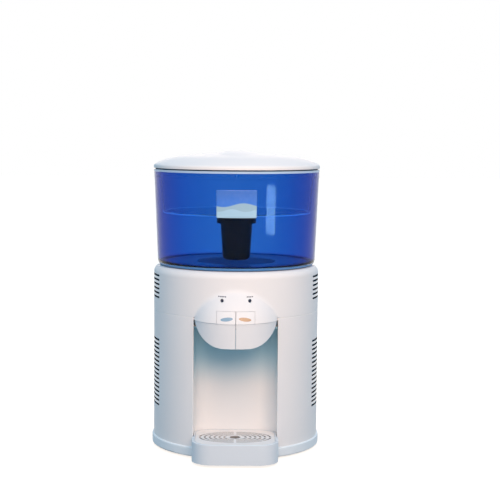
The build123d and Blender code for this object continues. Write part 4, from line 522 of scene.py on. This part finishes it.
def finish_set(looks):
    """One finish for each material slot of the record."""
    # Painted shade on the walls of the vents' slots.
    vent_shade_zones = ((vent_wall_shade, looks.vent_shade_colour),)
    # Painted shade near the niche's ceiling and on its front edge, and painted light on its cheeks.
    niche_light_and_shade_zones = (
        (niche_shade, looks.niche_shade_colour),
        (ceiling_edge_shade, looks.ceiling_edge_shade_colour),
        (niche_cheeks_painted_light, looks.cheek_painted_light_colour),
    )
    plastics = {
        "white_plastic": dict(colour=looks.body_colour, roughness=0.42, zones=vent_shade_zones),
        "niche_plastic": dict(colour=looks.niche_colour, roughness=0.42, zones=niche_light_and_shade_zones),
        "base_plastic": dict(colour=looks.base_colour, roughness=0.42),
        "tray_plastic": dict(colour=looks.tray_colour_and_shade, roughness=0.40),
        "filter_dark": dict(colour=looks.filter_colour, roughness=0.35),
        "cold_blue": dict(colour=looks.cold_colour_and_highlight, roughness=0.3, coat=0.3, grain=0.0),
        "hot_orange": dict(colour=looks.hot_colour_and_highlight, roughness=0.3, coat=0.3, grain=0.0),
        "light_clear": dict(colour=(0.02, 0.025, 0.05), roughness=0.1, coat=0.6, grain=0.0),
        "black_plastic": dict(colour=(0.018, 0.018, 0.02), roughness=0.45),
        "inner_plastic": dict(colour=(0.66, 0.66, 0.64), roughness=0.45),
    }
    metals = {
        "steel": dict(colour=(0.60, 0.60, 0.61), roughness=0.32, stretch=(1.0, 1.0, 0.03)),
        "aluminium": dict(colour=(0.72, 0.72, 0.74), roughness=0.36, stretch=(1.0, 0.03, 1.0)),
    }
    return {
        **{name: moulded_plastic(name, **values) for name, values in plastics.items()},
        **{name: brushed_metal(name, **values) for name, values in metals.items()},
        "blue_clear": tank_clear("blue_clear", looks),
        "chamber_clear": chamber_clear("chamber_clear", looks),
        "rubber": soft_rubber("rubber", colour=(0.03, 0.03, 0.03)),
        "hose_rubber": soft_rubber("hose_rubber", colour=(0.62, 0.62, 0.60)),
        "foam": cell_foam("foam", colour=(0.06, 0.06, 0.065)),
        "board_green": circuit_board("board_green", colour=(0.02, 0.11, 0.045)),
    }


def colour_property(name, description, default):
    return bpy.props.FloatVectorProperty(
        name=name,
        description=description,
        subtype="COLOR",
        size=3,
        min=0.0,
        max=1.0,
        default=default,
    )


class DispenserLooks(bpy.types.PropertyGroup):
    """Colours that a user would change."""

    body_colour: colour_property(
        "Body", "White of the housings, buttons and lid", (0.86, 0.835, 0.825)
    )
    niche_colour: colour_property("Niche", "White of the cup niche", (0.85, 0.825, 0.81))
    # Painted shade: a cool grey for the shade near the niche's ceiling.
    niche_shade_colour: colour_property(
        "Niche ceiling", "Cool grey of the niche near its ceiling", (0.44, 0.66, 0.74)
    )
    # Painted shade on the front edge of the niche's ceiling.
    ceiling_edge_shade_colour: colour_property(
        "Ceiling edge", "Dark of the niche ceiling's front edge", (0.22, 0.40, 0.48)
    )
    # Painted light: a pale tone that brightens the cheeks' dark recess.
    cheek_painted_light_colour: colour_property(
        "Cheeks", "Pale tone of the niche's cheeks over its ceiling", (0.85, 0.93, 0.97)
    )
    # Painted shade in the groove under the lid's rim.
    groove_shade_colour: colour_property(
        "Lid groove", "Dark of the groove under the lid's rim", (0.05, 0.085, 0.13)
    )
    base_colour: colour_property("Base", "White of the plinth", (0.82, 0.87, 0.90))
    # The tray's own white, made cooler and darker as painted shade of its front.
    tray_colour_and_shade: colour_property("Tray", "Cool white of the drip tray", (0.74, 0.785, 0.825))
    grille_colour: colour_property("Grille", "White of the drip grille", (0.85, 0.835, 0.83))
    # Painted shade on the walls of the grille's slots.
    slot_shade_colour: colour_property(
        "Grille slots", "Grey of the walls of the grille's slots", (0.42, 0.38, 0.355)
    )
    # Painted shade: the apron's white is a darker copy of the body's.
    apron_shaded_colour: colour_property(
        "Apron", "White of the buttons below the crease", (0.79, 0.79, 0.80)
    )
    tank_colour: colour_property(
        "Tank", "Colour that the water tank's wall lets through", (0.025, 0.52, 0.85)
    )
    # Painted shade on the foot's lowest edge, and painted light on the foot and the floor.
    foot_edge_shade_colour: colour_property(
        "Tank foot edge", "Deep blue of the lowest edge of the tank's foot", (0.05, 0.19, 0.36)
    )
    foot_painted_light_colour: colour_property("Tank foot", "Blue of the tank's thick foot", (0.10, 0.33, 0.70))
    tank_floor_painted_light_colour: colour_property("Tank floor", "Pale blue of the tank's floor", (0.45, 0.75, 0.95))
    chamber_colour: colour_property(
        "Chamber", "Tint of the clear raw water chamber", (0.90, 0.95, 0.99)
    )
    flange_colour: colour_property(
        "Chamber flange", "Pale tone of the chamber's flange", (0.48, 0.62, 0.78)
    )
    # Painted light: the line round the chamber's floor glows.
    floor_line_painted_glow: colour_property(
        "Floor line", "Glow of the line round the chamber's floor", (0.35, 0.52, 0.80)
    )
    filter_colour: colour_property(
        "Filter", "Dark of the filter head and cup", (0.006, 0.007, 0.012)
    )
    # The badges' own blue and orange, paled to take in painted highlight.
    cold_colour_and_highlight: colour_property(
        "Cold badge", "Blue of the cold button's badge", (0.29, 0.43, 0.55)
    )
    hot_colour_and_highlight: colour_property(
        "Hot badge", "Orange of the hot button's badge", (0.60, 0.38, 0.24)
    )
    # Painted shade on the vent slots' walls and on the dark screens behind them.
    vent_shade_colour: colour_property("Vents", "Dark of the vent slots' walls", (0.025, 0.045, 0.07))
    label_blue: colour_property("Label field", "Blue of the label's upper part", (0.02, 0.14, 0.55))
    label_pale: colour_property("Label waves", "Pale tone of the label's waves", (0.38, 0.60, 0.76))
    mark_colour: colour_property("Marks", "Grey of the marks over the lights", (0.16, 0.16, 0.18))


def length_property(name, description, default):
    return bpy.props.FloatProperty(
        name=name, description=description, default=default, min=0.0, unit="LENGTH"
    )


class DispenserSizes(bpy.types.PropertyGroup):
    """Sizes of the springs, the dark screens that paint the shade behind the vents, the vent bars
    and the printed pieces.
    """

    spring_wire: length_property("Spring wire", "Diameter of the plunger springs' wire", 0.0008)
    spring_turns: bpy.props.FloatProperty(
        name="Spring turns", description="Turns of a plunger spring", default=3.0
    )
    # The screens are dark sheets that paint the shade inside the side vents.
    screen_inset: length_property(
        "Screen inset", "How far inside the skin the dust screens are", 0.0029
    )
    screen_width: length_property("Screen width", "Width of a dust screen round the side", 0.118)
    screen_thickness: length_property("Screen thickness", "Thickness of a dust screen", 0.0003)
    lower_screen_foot: length_property(
        "Lower screen foot", "Height of the lower screens' lower edge", 0.068
    )
    lower_screen_top: length_property(
        "Lower screen top", "Height of the lower screens' upper edge", 0.184
    )
    upper_screen_foot: length_property(
        "Upper screen foot", "Height of the upper screens' lower edge", 0.242
    )
    upper_screen_top: length_property(
        "Upper screen top", "Height of the upper screens' upper edge", 0.286
    )
    vent_pitch: length_property("Vent pitch", "Height from one vent slot to the next", 0.007)
    vent_slot: length_property("Vent slot", "Height of a vent slot", 0.0032)
    lower_vent_foot: length_property(
        "Lower vents foot", "Height of the lowest slot of the lower vents", 0.0718
    )
    upper_vent_foot: length_property(
        "Upper vents foot", "Height of the lowest slot of the upper vents", 0.2457
    )
    bar_near: length_property(
        "Bar start", "Where a bar between two slots starts beside the body's middle", 0.0116
    )
    bar_far: length_property(
        "Bar end", "Where a bar between two slots ends beside the body's middle", 0.0524
    )
    bar_depth: length_property("Bar depth", "How deep a bar's face reaches into the wall", 0.001)
    bar_film: length_property(
        "Bar film", "How far a bar's face stands proud of the skin", 0.00002
    )
    tank_flare: length_property(
        "Tank flare", "How much wider the tank's rim is than its foot", 0.0064
    )
    label_width: length_property("Label width", "Width of the label round the tank", 0.0635)
    label_bottom: length_property("Label foot", "Height of the label's lower edge", 0.3788)
    label_top: length_property("Label top", "Height of the label's upper edge", 0.4219)
    label_film: length_property("Label film", "Thickness of the label", 0.0002)
    mark_dash: length_property("Mark dash", "Length of one dash over a light", 0.0019)
    mark_gap: length_property("Mark gap", "Gap between two dashes", 0.0007)
    mark_height: length_property("Mark height", "Height of a dash", 0.0016)
    mark_rise: length_property("Mark rise", "Height of the dashes over the light's middle", 0.0046)
    mark_film: length_property("Mark film", "How far the print stands proud", 0.00006)


class DispenserStage(bpy.types.PropertyGroup):
    """The camera's lens and place."""

    lens: bpy.props.FloatProperty(
        name="Lens",
        description="Focal length on a 36 mm sensor",
        default=94.9,
        min=20.0,
        unit="CAMERA",
    )
    camera_back: bpy.props.FloatProperty(
        name="Camera distance",
        description="How far in front of the body's axis",
        default=2.147,
        unit="LENGTH",
    )
    camera_up: bpy.props.FloatProperty(
        name="Camera height", description="Height above the counter", default=0.514, unit="LENGTH"
    )
    pitch: bpy.props.FloatProperty(
        name="Pitch",
        description="Tilt below the horizon",
        default=math.radians(5.22),
        subtype="ANGLE",
    )
    roll: bpy.props.FloatProperty(
        name="Roll",
        description="Turn of the camera about its own axis",
        default=math.radians(0.39),
        subtype="ANGLE",
    )
    shift: bpy.props.FloatProperty(
        name="Shift",
        description="Sideways shift of the frame, as a share of its width",
        default=0.0274,
    )


class DISPENSER_OT_nodes(bpy.types.Operator):
    """Gives every solid of the dispenser the finish of its slot"""

    bl_idname = "dispenser.nodes"
    bl_label = "Dress the Solids"

    def execute(self, context):
        looks = context.scene.dispenser_looks
        finishes = finish_set(looks)
        button = moulded_plastic(
            "button_plastic",
            looks.body_colour,
            roughness=0.40,
            zones=((below_crease, looks.apron_shaded_colour),),
        )
        grille = moulded_plastic(
            "grille_plastic",
            looks.grille_colour,
            roughness=0.40,
            zones=((grille_slot_shade, looks.slot_shade_colour),),
        )
        lid = moulded_plastic(
            "lid_plastic",
            looks.body_colour,
            roughness=0.60,
            zones=((lid_groove_shade, looks.groove_shade_colour),),
        )
        own = {"cold_button": button, "hot_button": button, "drip_grille": grille, "lid": lid}
        for node, solid in frame["nodes"].items():
            solid.data.materials.clear()
            solid.data.materials.append(own.get(node) or finishes[NODE_SLOT[node]])
        return {"FINISHED"}


def surface(name, points, finish, body, closed=False, smooth=True):
    """Makes a piece that rides on a body from one or more grids of points, rows by columns.

    Closed joins the seams of its grids.
    """
    corner = np.arange(points.size // 3).reshape(points.shape[:-1])
    quads = np.stack(
        [
            corner[..., :-1, :-1],
            corner[..., :-1, 1:],
            corner[..., 1:, 1:],
            corner[..., 1:, :-1],
        ],
        axis=-1,
    )
    mesh = bpy.data.meshes.new(name)
    mesh.from_pydata(points.reshape(-1, 3), [], quads.reshape(-1, 4))
    if closed:
        solid = bmesh.new()
        solid.from_mesh(mesh)
        bmesh.ops.remove_doubles(solid, verts=solid.verts, dist=SEAM_JOIN)
        solid.to_mesh(mesh)
        solid.free()
    mesh.polygons.foreach_set("use_smooth", np.full(len(mesh.polygons), smooth))
    mesh.materials.append(finish)
    piece = bpy.data.objects.new(name, mesh)
    bpy.context.scene.collection.objects.link(piece)
    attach(piece, body)
    return piece


def thicken(piece, name, thickness):
    """Gives a sheet its thickness, inwards from its outer face."""
    wall = piece.modifiers.new(name, "SOLIDIFY")
    wall.thickness = thickness
    wall.offset = -1.0


class DISPENSER_OT_springs(bpy.types.Operator):
    """Winds the plunger springs"""

    bl_idname = "dispenser.springs"
    bl_label = "Wind the Springs"

    def execute(self, context):
        """A circle of wire round a helix, with both ends drawn shut.

        The centre line is at (turn), and the circle at (turn, angle).
        """
        sizes = context.scene.dispenser_sizes
        half = sizes.spring_wire / 2
        finish = bpy.data.materials["steel"]
        joints = frame["record"]["behaviour"]["joints"]
        travel = {joint["name"]: joint.get("range_m") for joint in joints}
        turn = np.linspace(0.0, math.tau * sizes.spring_turns, SPRING_STEPS)
        out = np.stack([np.cos(turn), np.sin(turn), np.zeros(SPRING_STEPS)], axis=-1)
        angle = np.linspace(0.0, math.tau, WIRE_STEPS)[None, :, None]
        for name in ("cold", "hot"):
            low, high = (np.array(corner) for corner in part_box(f"{name}_spring"))
            radius = (high[0] - low[0]) / 2 - half
            line = radius * out + np.array([low[0] + high[0], low[1] + high[1], 0.0]) / 2
            line[:, 2] = np.linspace(low[2] + half, high[2] - half, SPRING_STEPS)
            along = np.gradient(line, axis=0)
            along /= np.linalg.norm(along, axis=1, keepdims=True)
            ring = np.cos(angle) * out[:, None] + np.sin(angle) * np.cross(along, out)[:, None]
            wire = line[:, None] + ring * half
            ends = [np.repeat(line[end][None, None], WIRE_STEPS, axis=1) for end in (0, -1)]
            points = np.concatenate([ends[0], wire, ends[1]])
            spring = surface(
                f"{name}_plunger_spring", points, finish, "housing", closed=True
            )
            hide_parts(f"{name}_spring")
            push = f"{name}_plunger_push"
            foot = (line[0, 0] - radius, line[0, 1], low[2])
            keep = 1.0 - max(travel[push]) / (high[2] - low[2])
            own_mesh(spring)
        return {"FINISHED"}


class DISPENSER_OT_screens(bpy.types.Operator):
    """Stretches dark screens behind the side vents, which paint the shade inside them"""

    bl_idname = "dispenser.screens"
    # The screens of this label are dark sheets that paint the shade behind the vents.
    bl_label = "Fit the Dust Screens"

    def execute(self, context):
        """Each screen is a patch of a cylinder at (angle, height), just inside the housing."""
        sizes = context.scene.dispenser_sizes
        radius = BODY_RADIUS - sizes.screen_inset
        finish = shade_screen("shade_screen", context.scene.dispenser_looks.vent_shade_colour)
        half = sizes.screen_width / radius / 2
        columns, rows = SCREEN_GRID
        for name, foot, head in (
            ("lower", sizes.lower_screen_foot, sizes.lower_screen_top),
            ("upper", sizes.upper_screen_foot, sizes.upper_screen_top),
        ):
            for side, middle in (("left", math.pi), ("right", 0.0)):
                round_side = middle + np.linspace(-half, half, columns)
                angle, height = np.meshgrid(round_side, np.linspace(foot, head, rows))
                points = np.stack([radius * np.cos(angle), radius * np.sin(angle), height], axis=-1)
                screen = surface(f"{side}_{name}_screen", points, finish, "housing")
                thicken(screen, "thickness", sizes.screen_thickness)
        return {"FINISHED"}


class DISPENSER_OT_bars(bpy.types.Operator):
    """Lays evenly round faces on the bars between the side vents' slots"""

    bl_idname = "dispenser.bars"
    bl_label = "Face the Vent Bars"

    def execute(self, context):
        """A rectangle carried round the body's circle, with both ends drawn shut.

        The section is at (corner), and its place at (angle).
        """
        sizes = context.scene.dispenser_sizes
        finish = bpy.data.materials["white_plastic"]
        near, far = np.arcsin(np.array([sizes.bar_near, sizes.bar_far]) / BODY_RADIUS)
        starts = np.array([near, -far, math.pi + near, math.pi - far])
        angle = (starts[:, None] + np.linspace(0.0, far - near, BAR_STEPS))[:, None, :, None]
        outer, inner = BODY_RADIUS + sizes.bar_film, BODY_RADIUS - sizes.bar_depth
        radius = np.array([outer, outer, inner, inner, outer])
        edge = np.array([0.5, -0.5, -0.5, 0.5, 0.5]) * (sizes.vent_pitch - sizes.vent_slot)
        for name, foot, rows in (
            ("lower", sizes.lower_vent_foot, LOWER_VENT_ROWS),
            ("upper", sizes.upper_vent_foot, UPPER_VENT_ROWS),
        ):
            middle = foot + (np.arange(rows - 1) + 0.5) * sizes.vent_pitch
            height = middle[None, :, None, None] + edge
            places = np.broadcast_arrays(radius * np.cos(angle), radius * np.sin(angle), height)
            bars = np.stack(places, axis=-1)
            centre = bars[..., :-1, :].mean(axis=-2, keepdims=True)
            ends = np.repeat(centre, len(radius), axis=-2)
            points = np.concatenate([ends[:, :, :1], bars, ends[:, :, -1:]], axis=2)
            surface(
                f"{name}_vent_bars",
                points,
                finish,
                "housing",
                closed=True,
                smooth=False,
            )
        return {"FINISHED"}


class DISPENSER_OT_label(bpy.types.Operator):
    """Wraps a printed label with waves round the front of the tank"""

    bl_idname = "dispenser.label"
    bl_label = "Stick the Label"

    def execute(self, context):
        """The sheet is the tank's cone at (angle, height), a film's thickness proud of it.

        The cone is a straight taper from the tank's foot to its rim.
        """
        sizes = context.scene.dispenser_sizes
        columns, rows = LABEL_GRID
        across = np.linspace(-sizes.label_width / 2, sizes.label_width / 2, columns)
        up = np.linspace(sizes.label_bottom, sizes.label_top, rows)
        width, height = np.meshgrid(across, up)
        drop = (TANK_RIM[2] - height) / (TANK_RIM[2] - TANK_FOOT_HEIGHT)
        radius = TANK_RIM[0] - sizes.tank_flare * drop + sizes.label_film
        angle = width / TANK_RIM[0]
        points = np.stack([radius * np.sin(angle), -radius * np.cos(angle), height], axis=-1)
        finish = self.wave_print(context.scene.dispenser_looks, sizes)
        label = surface("tank_label", points, finish, "water_tank")
        thicken(label, "film", sizes.label_film)
        return {"FINISHED"}

    def wave_print(self, looks, sizes):
        """A blue field over pale waves: each crest is a sine of the place across the label."""
        finish = Finish.new("label_print")
        across, _, up = finish.spot()
        share = (up - sizes.label_bottom) / (sizes.label_top - sizes.label_bottom)
        turn = across * (math.tau / sizes.label_width)
        field = finish.drift(share.smooth(*FIELD_FADE), looks.label_blue, start=1.25, end=1.0)
        for wave in WAVES:
            crest = (turn * wave["count"] + wave["start"]).math("SINE") * wave["swell"]
            under = (crest + wave["level"] - share).smooth(-WAVE_EDGE, WAVE_EDGE)
            field = finish.mix(under, field, shade(looks.label_pale, wave["tone"]))
        fleck = finish.noise(scale=160.0) * FLECK_STRENGTH
        finish.set(
            Base_Color=finish.mix(fleck, field, FLECK_COLOUR),
            Roughness=finish.uneven(finish.noise(scale=90.0), low=0.25, high=0.35),
        )
        return finish.owner


def dome_front(across, height):
    """Depth of the nose's dome at a place seen from the front.

    The circle through the three points of its arc gives the dome's radius at each height.
    """
    (r1, z1), (r2, z2), (r3, z3) = NOSE_ARC
    sides = np.array([[r2 - r1, z2 - z1], [r3 - r1, z3 - z1]]) * 2.0
    squares = np.array([r2**2 - r1**2 + z2**2 - z1**2, r3**2 - r1**2 + z3**2 - z1**2])
    centre = np.linalg.solve(sides, squares)
    arc = math.hypot(r1 - centre[0], z1 - centre[1])
    radius = centre[0] + np.sqrt(arc**2 - (height - centre[1]) ** 2)
    return NOSE_FRONT + r1 - np.sqrt(radius**2 - across**2)


class DISPENSER_OT_marks(bpy.types.Operator):
    """Prints a small row of dashes above each indicator light"""

    bl_idname = "dispenser.marks"
    bl_label = "Print the Marks"

    def execute(self, context):
        """Each dash is a patch of the nose's dome, over a small rectangle seen from the front."""
        sizes = context.scene.dispenser_sizes
        mark_colour = context.scene.dispenser_looks.mark_colour
        finish = moulded_plastic("mark_print", mark_colour, roughness=0.5, grain=0.0)
        columns, rows = MARK_GRID
        pitch = sizes.mark_dash + sizes.mark_gap
        foot = LIGHT_PLACE[2] + sizes.mark_rise
        for name, side, dashes in (("cold", -1, COLD_DASHES), ("hot", 1, HOT_DASHES)):
            first = side * LIGHT_PLACE[0] - (dashes - 1) * pitch / 2
            for dash in range(dashes):
                across = first + dash * pitch + np.linspace(-0.5, 0.5, columns) * sizes.mark_dash
                up = foot + np.linspace(0.0, 1.0, rows) * sizes.mark_height
                width, height = np.meshgrid(across, up)
                depth = dome_front(width, height) - sizes.mark_film
                points = np.stack([width, depth, height], axis=-1)
                mark = surface(f"{name}_mark_{dash}", points, finish, "housing")
                self.lay_on_nose(mark, sizes.mark_film)
        return {"FINISHED"}

    def lay_on_nose(self, mark, film):
        """Carries a print straight back or forth on to the nose, where its blend leaves the arc."""
        wrap = mark.modifiers.new("on_nose", "SHRINKWRAP")
        wrap.target = frame["nodes"]["upper_housing"]
        wrap.wrap_method = "PROJECT"
        wrap.use_project_y = wrap.use_negative_direction = wrap.use_positive_direction = True
        wrap.project_limit = NOSE_REACH
        wrap.wrap_mode = "ABOVE_SURFACE"
        wrap.offset = film
        bpy.context.view_layer.update()
        evaluated = mark.evaluated_get(bpy.context.evaluated_depsgraph_get())
        laid = bpy.data.meshes.new_from_object(evaluated)
        mark.modifiers.clear()
        mark.data = laid


class DISPENSER_OT_stage(bpy.types.Operator):
    """Sets the floor, lamps and camera"""

    bl_idname = "dispenser.stage"
    bl_label = "Set the Stage"

    def execute(self, context):
        scene = context.scene
        scene.view_settings.view_transform = "Standard"
        self.floor(scene)
        self.world(scene)
        self.lamps(scene)
        self.camera(scene)
        return {"FINISHED"}

    def floor(self, scene):
        """A wide plain counter, pale where it is seen."""
        half = COUNTER_HALF
        mesh = bpy.data.meshes.new("counter")
        corners = [(-half, -half, 0), (half, -half, 0), (half, half, 0), (-half, half, 0)]
        mesh.from_pydata(corners, [], [(0, 1, 2, 3)])
        counter = bpy.data.objects.new("counter", mesh)
        scene.collection.objects.link(counter)
        finish = Finish.new("counter")
        finish.set(
            Base_Color=finish.mix(finish.noise(scale=3.0), COUNTER_DARK, COUNTER_LIGHT),
            Roughness=0.8,
            Emission_Color=finish.mix(self.seen(finish), BLACK, COUNTER_SEEN),
            Emission_Strength=1.0,
        )
        mesh.materials.append(finish.owner)

    def seen(self, finish):
        """1 where the camera sees a surface itself, in a reflection or through clear plastic."""
        kinds = ("Is Camera Ray", "Is Glossy Ray", "Is Transmission Ray")
        camera, glossy, through = finish.node("ShaderNodeLightPath").outputs(kinds)
        return camera.math("MAXIMUM", glossy).math("MAXIMUM", through)

    def world(self, scene):
        """White where it is seen, and a dimmer cool tone where it lights the dispenser."""
        scene.world = bpy.data.worlds.new("studio")
        finish = Finish(scene.world)
        finish.set(Color=finish.mix(self.seen(finish), WORLD_LIGHT, WHITE))

    def lamps(self, scene):
        """Warm softboxes in front and behind, and a cool strip that only glosses."""
        self.lamp(
            scene,
            "key_softbox",
            place=(0.2, -1.25, 1.0),
            target=(0.0, 0.0, 0.2),
            size=(1.1, 0.9),
            power=19.0,
            colour=WARM_LIGHT,
        )
        rear = self.lamp(
            scene,
            "rear_softbox",
            place=(0.0, 1.5, 0.9),
            target=(0.0, 0.0, 0.3),
            size=(0.9, 0.7),
            power=14.0,
            colour=WARM_LIGHT,
        )
        rear.visible_camera = rear.visible_transmission = False
        strip = self.lamp(
            scene,
            "gloss_strip",
            place=(1.476, -1.352, 0.13),
            target=(0.0, 0.0, 0.3),
            size=(0.46, 0.14),
            power=4.6,
            colour=COOL_LIGHT,
        )
        strip.visible_diffuse = False

    def lamp(self, scene, name, place, target, size, power, colour):
        light = bpy.data.lights.new(name, "AREA")
        light.shape = "RECTANGLE"
        light.size, light.size_y = size
        light.energy = power
        light.color = colour
        lamp = bpy.data.objects.new(name, light)
        lamp.location = place
        aim = Vector(target) - Vector(place)
        lamp.rotation_euler = aim.to_track_quat("-Z", "Y").to_euler()
        scene.collection.objects.link(lamp)
        return lamp

    def camera(self, scene):
        stage = scene.dispenser_stage
        lens = bpy.data.cameras.new("front_camera")
        lens.lens = stage.lens
        lens.sensor_width = SENSOR_WIDTH
        lens.shift_x = stage.shift
        camera = bpy.data.objects.new("front_camera", lens)
        scene.collection.objects.link(camera)
        camera.matrix_world = (
            Matrix.Translation((0.0, -stage.camera_back, stage.camera_up))
            @ Matrix.Rotation(math.pi / 2 - stage.pitch, 4, "X")
            @ Matrix.Rotation(stage.roll, 4, "Z")
        )
        scene.camera = camera


class DISPENSER_PT_panel(bpy.types.Panel):
    """Sidebar panel that lists the dispenser's steps"""

    bl_idname = "DISPENSER_PT_panel"
    bl_label = "Dispenser"
    bl_space_type = "VIEW_3D"
    bl_region_type = "UI"
    bl_category = "Dispenser"

    def draw(self, context):
        scene = context.scene
        for step in STEPS:
            self.layout.operator(step.bl_idname)
        for group in (scene.dispenser_looks, scene.dispenser_sizes, scene.dispenser_stage):
            for key in group.__annotations__:
                self.layout.prop(group, key)


STEPS = (
    DISPENSER_OT_nodes,
    DISPENSER_OT_springs,
    DISPENSER_OT_screens,
    DISPENSER_OT_bars,
    DISPENSER_OT_label,
    DISPENSER_OT_marks,
    DISPENSER_OT_stage,
)
CLASSES = (DispenserLooks, DispenserSizes, DispenserStage, *STEPS, DISPENSER_PT_panel)


def register():
    for cls in CLASSES:
        bpy.utils.register_class(cls)
    bpy.types.Scene.dispenser_looks = bpy.props.PointerProperty(type=DispenserLooks)
    bpy.types.Scene.dispenser_sizes = bpy.props.PointerProperty(type=DispenserSizes)
    bpy.types.Scene.dispenser_stage = bpy.props.PointerProperty(type=DispenserStage)


def unregister():
    del bpy.types.Scene.dispenser_looks
    del bpy.types.Scene.dispenser_sizes
    del bpy.types.Scene.dispenser_stage
    for cls in reversed(CLASSES):
        bpy.utils.unregister_class(cls)


def main():
    register()
    for step in STEPS:
        group, _, action = step.bl_idname.partition(".")
        getattr(getattr(bpy.ops, group), action)()
    bpy.context.view_layer.update()


if __name__ == "__main__":
    main()
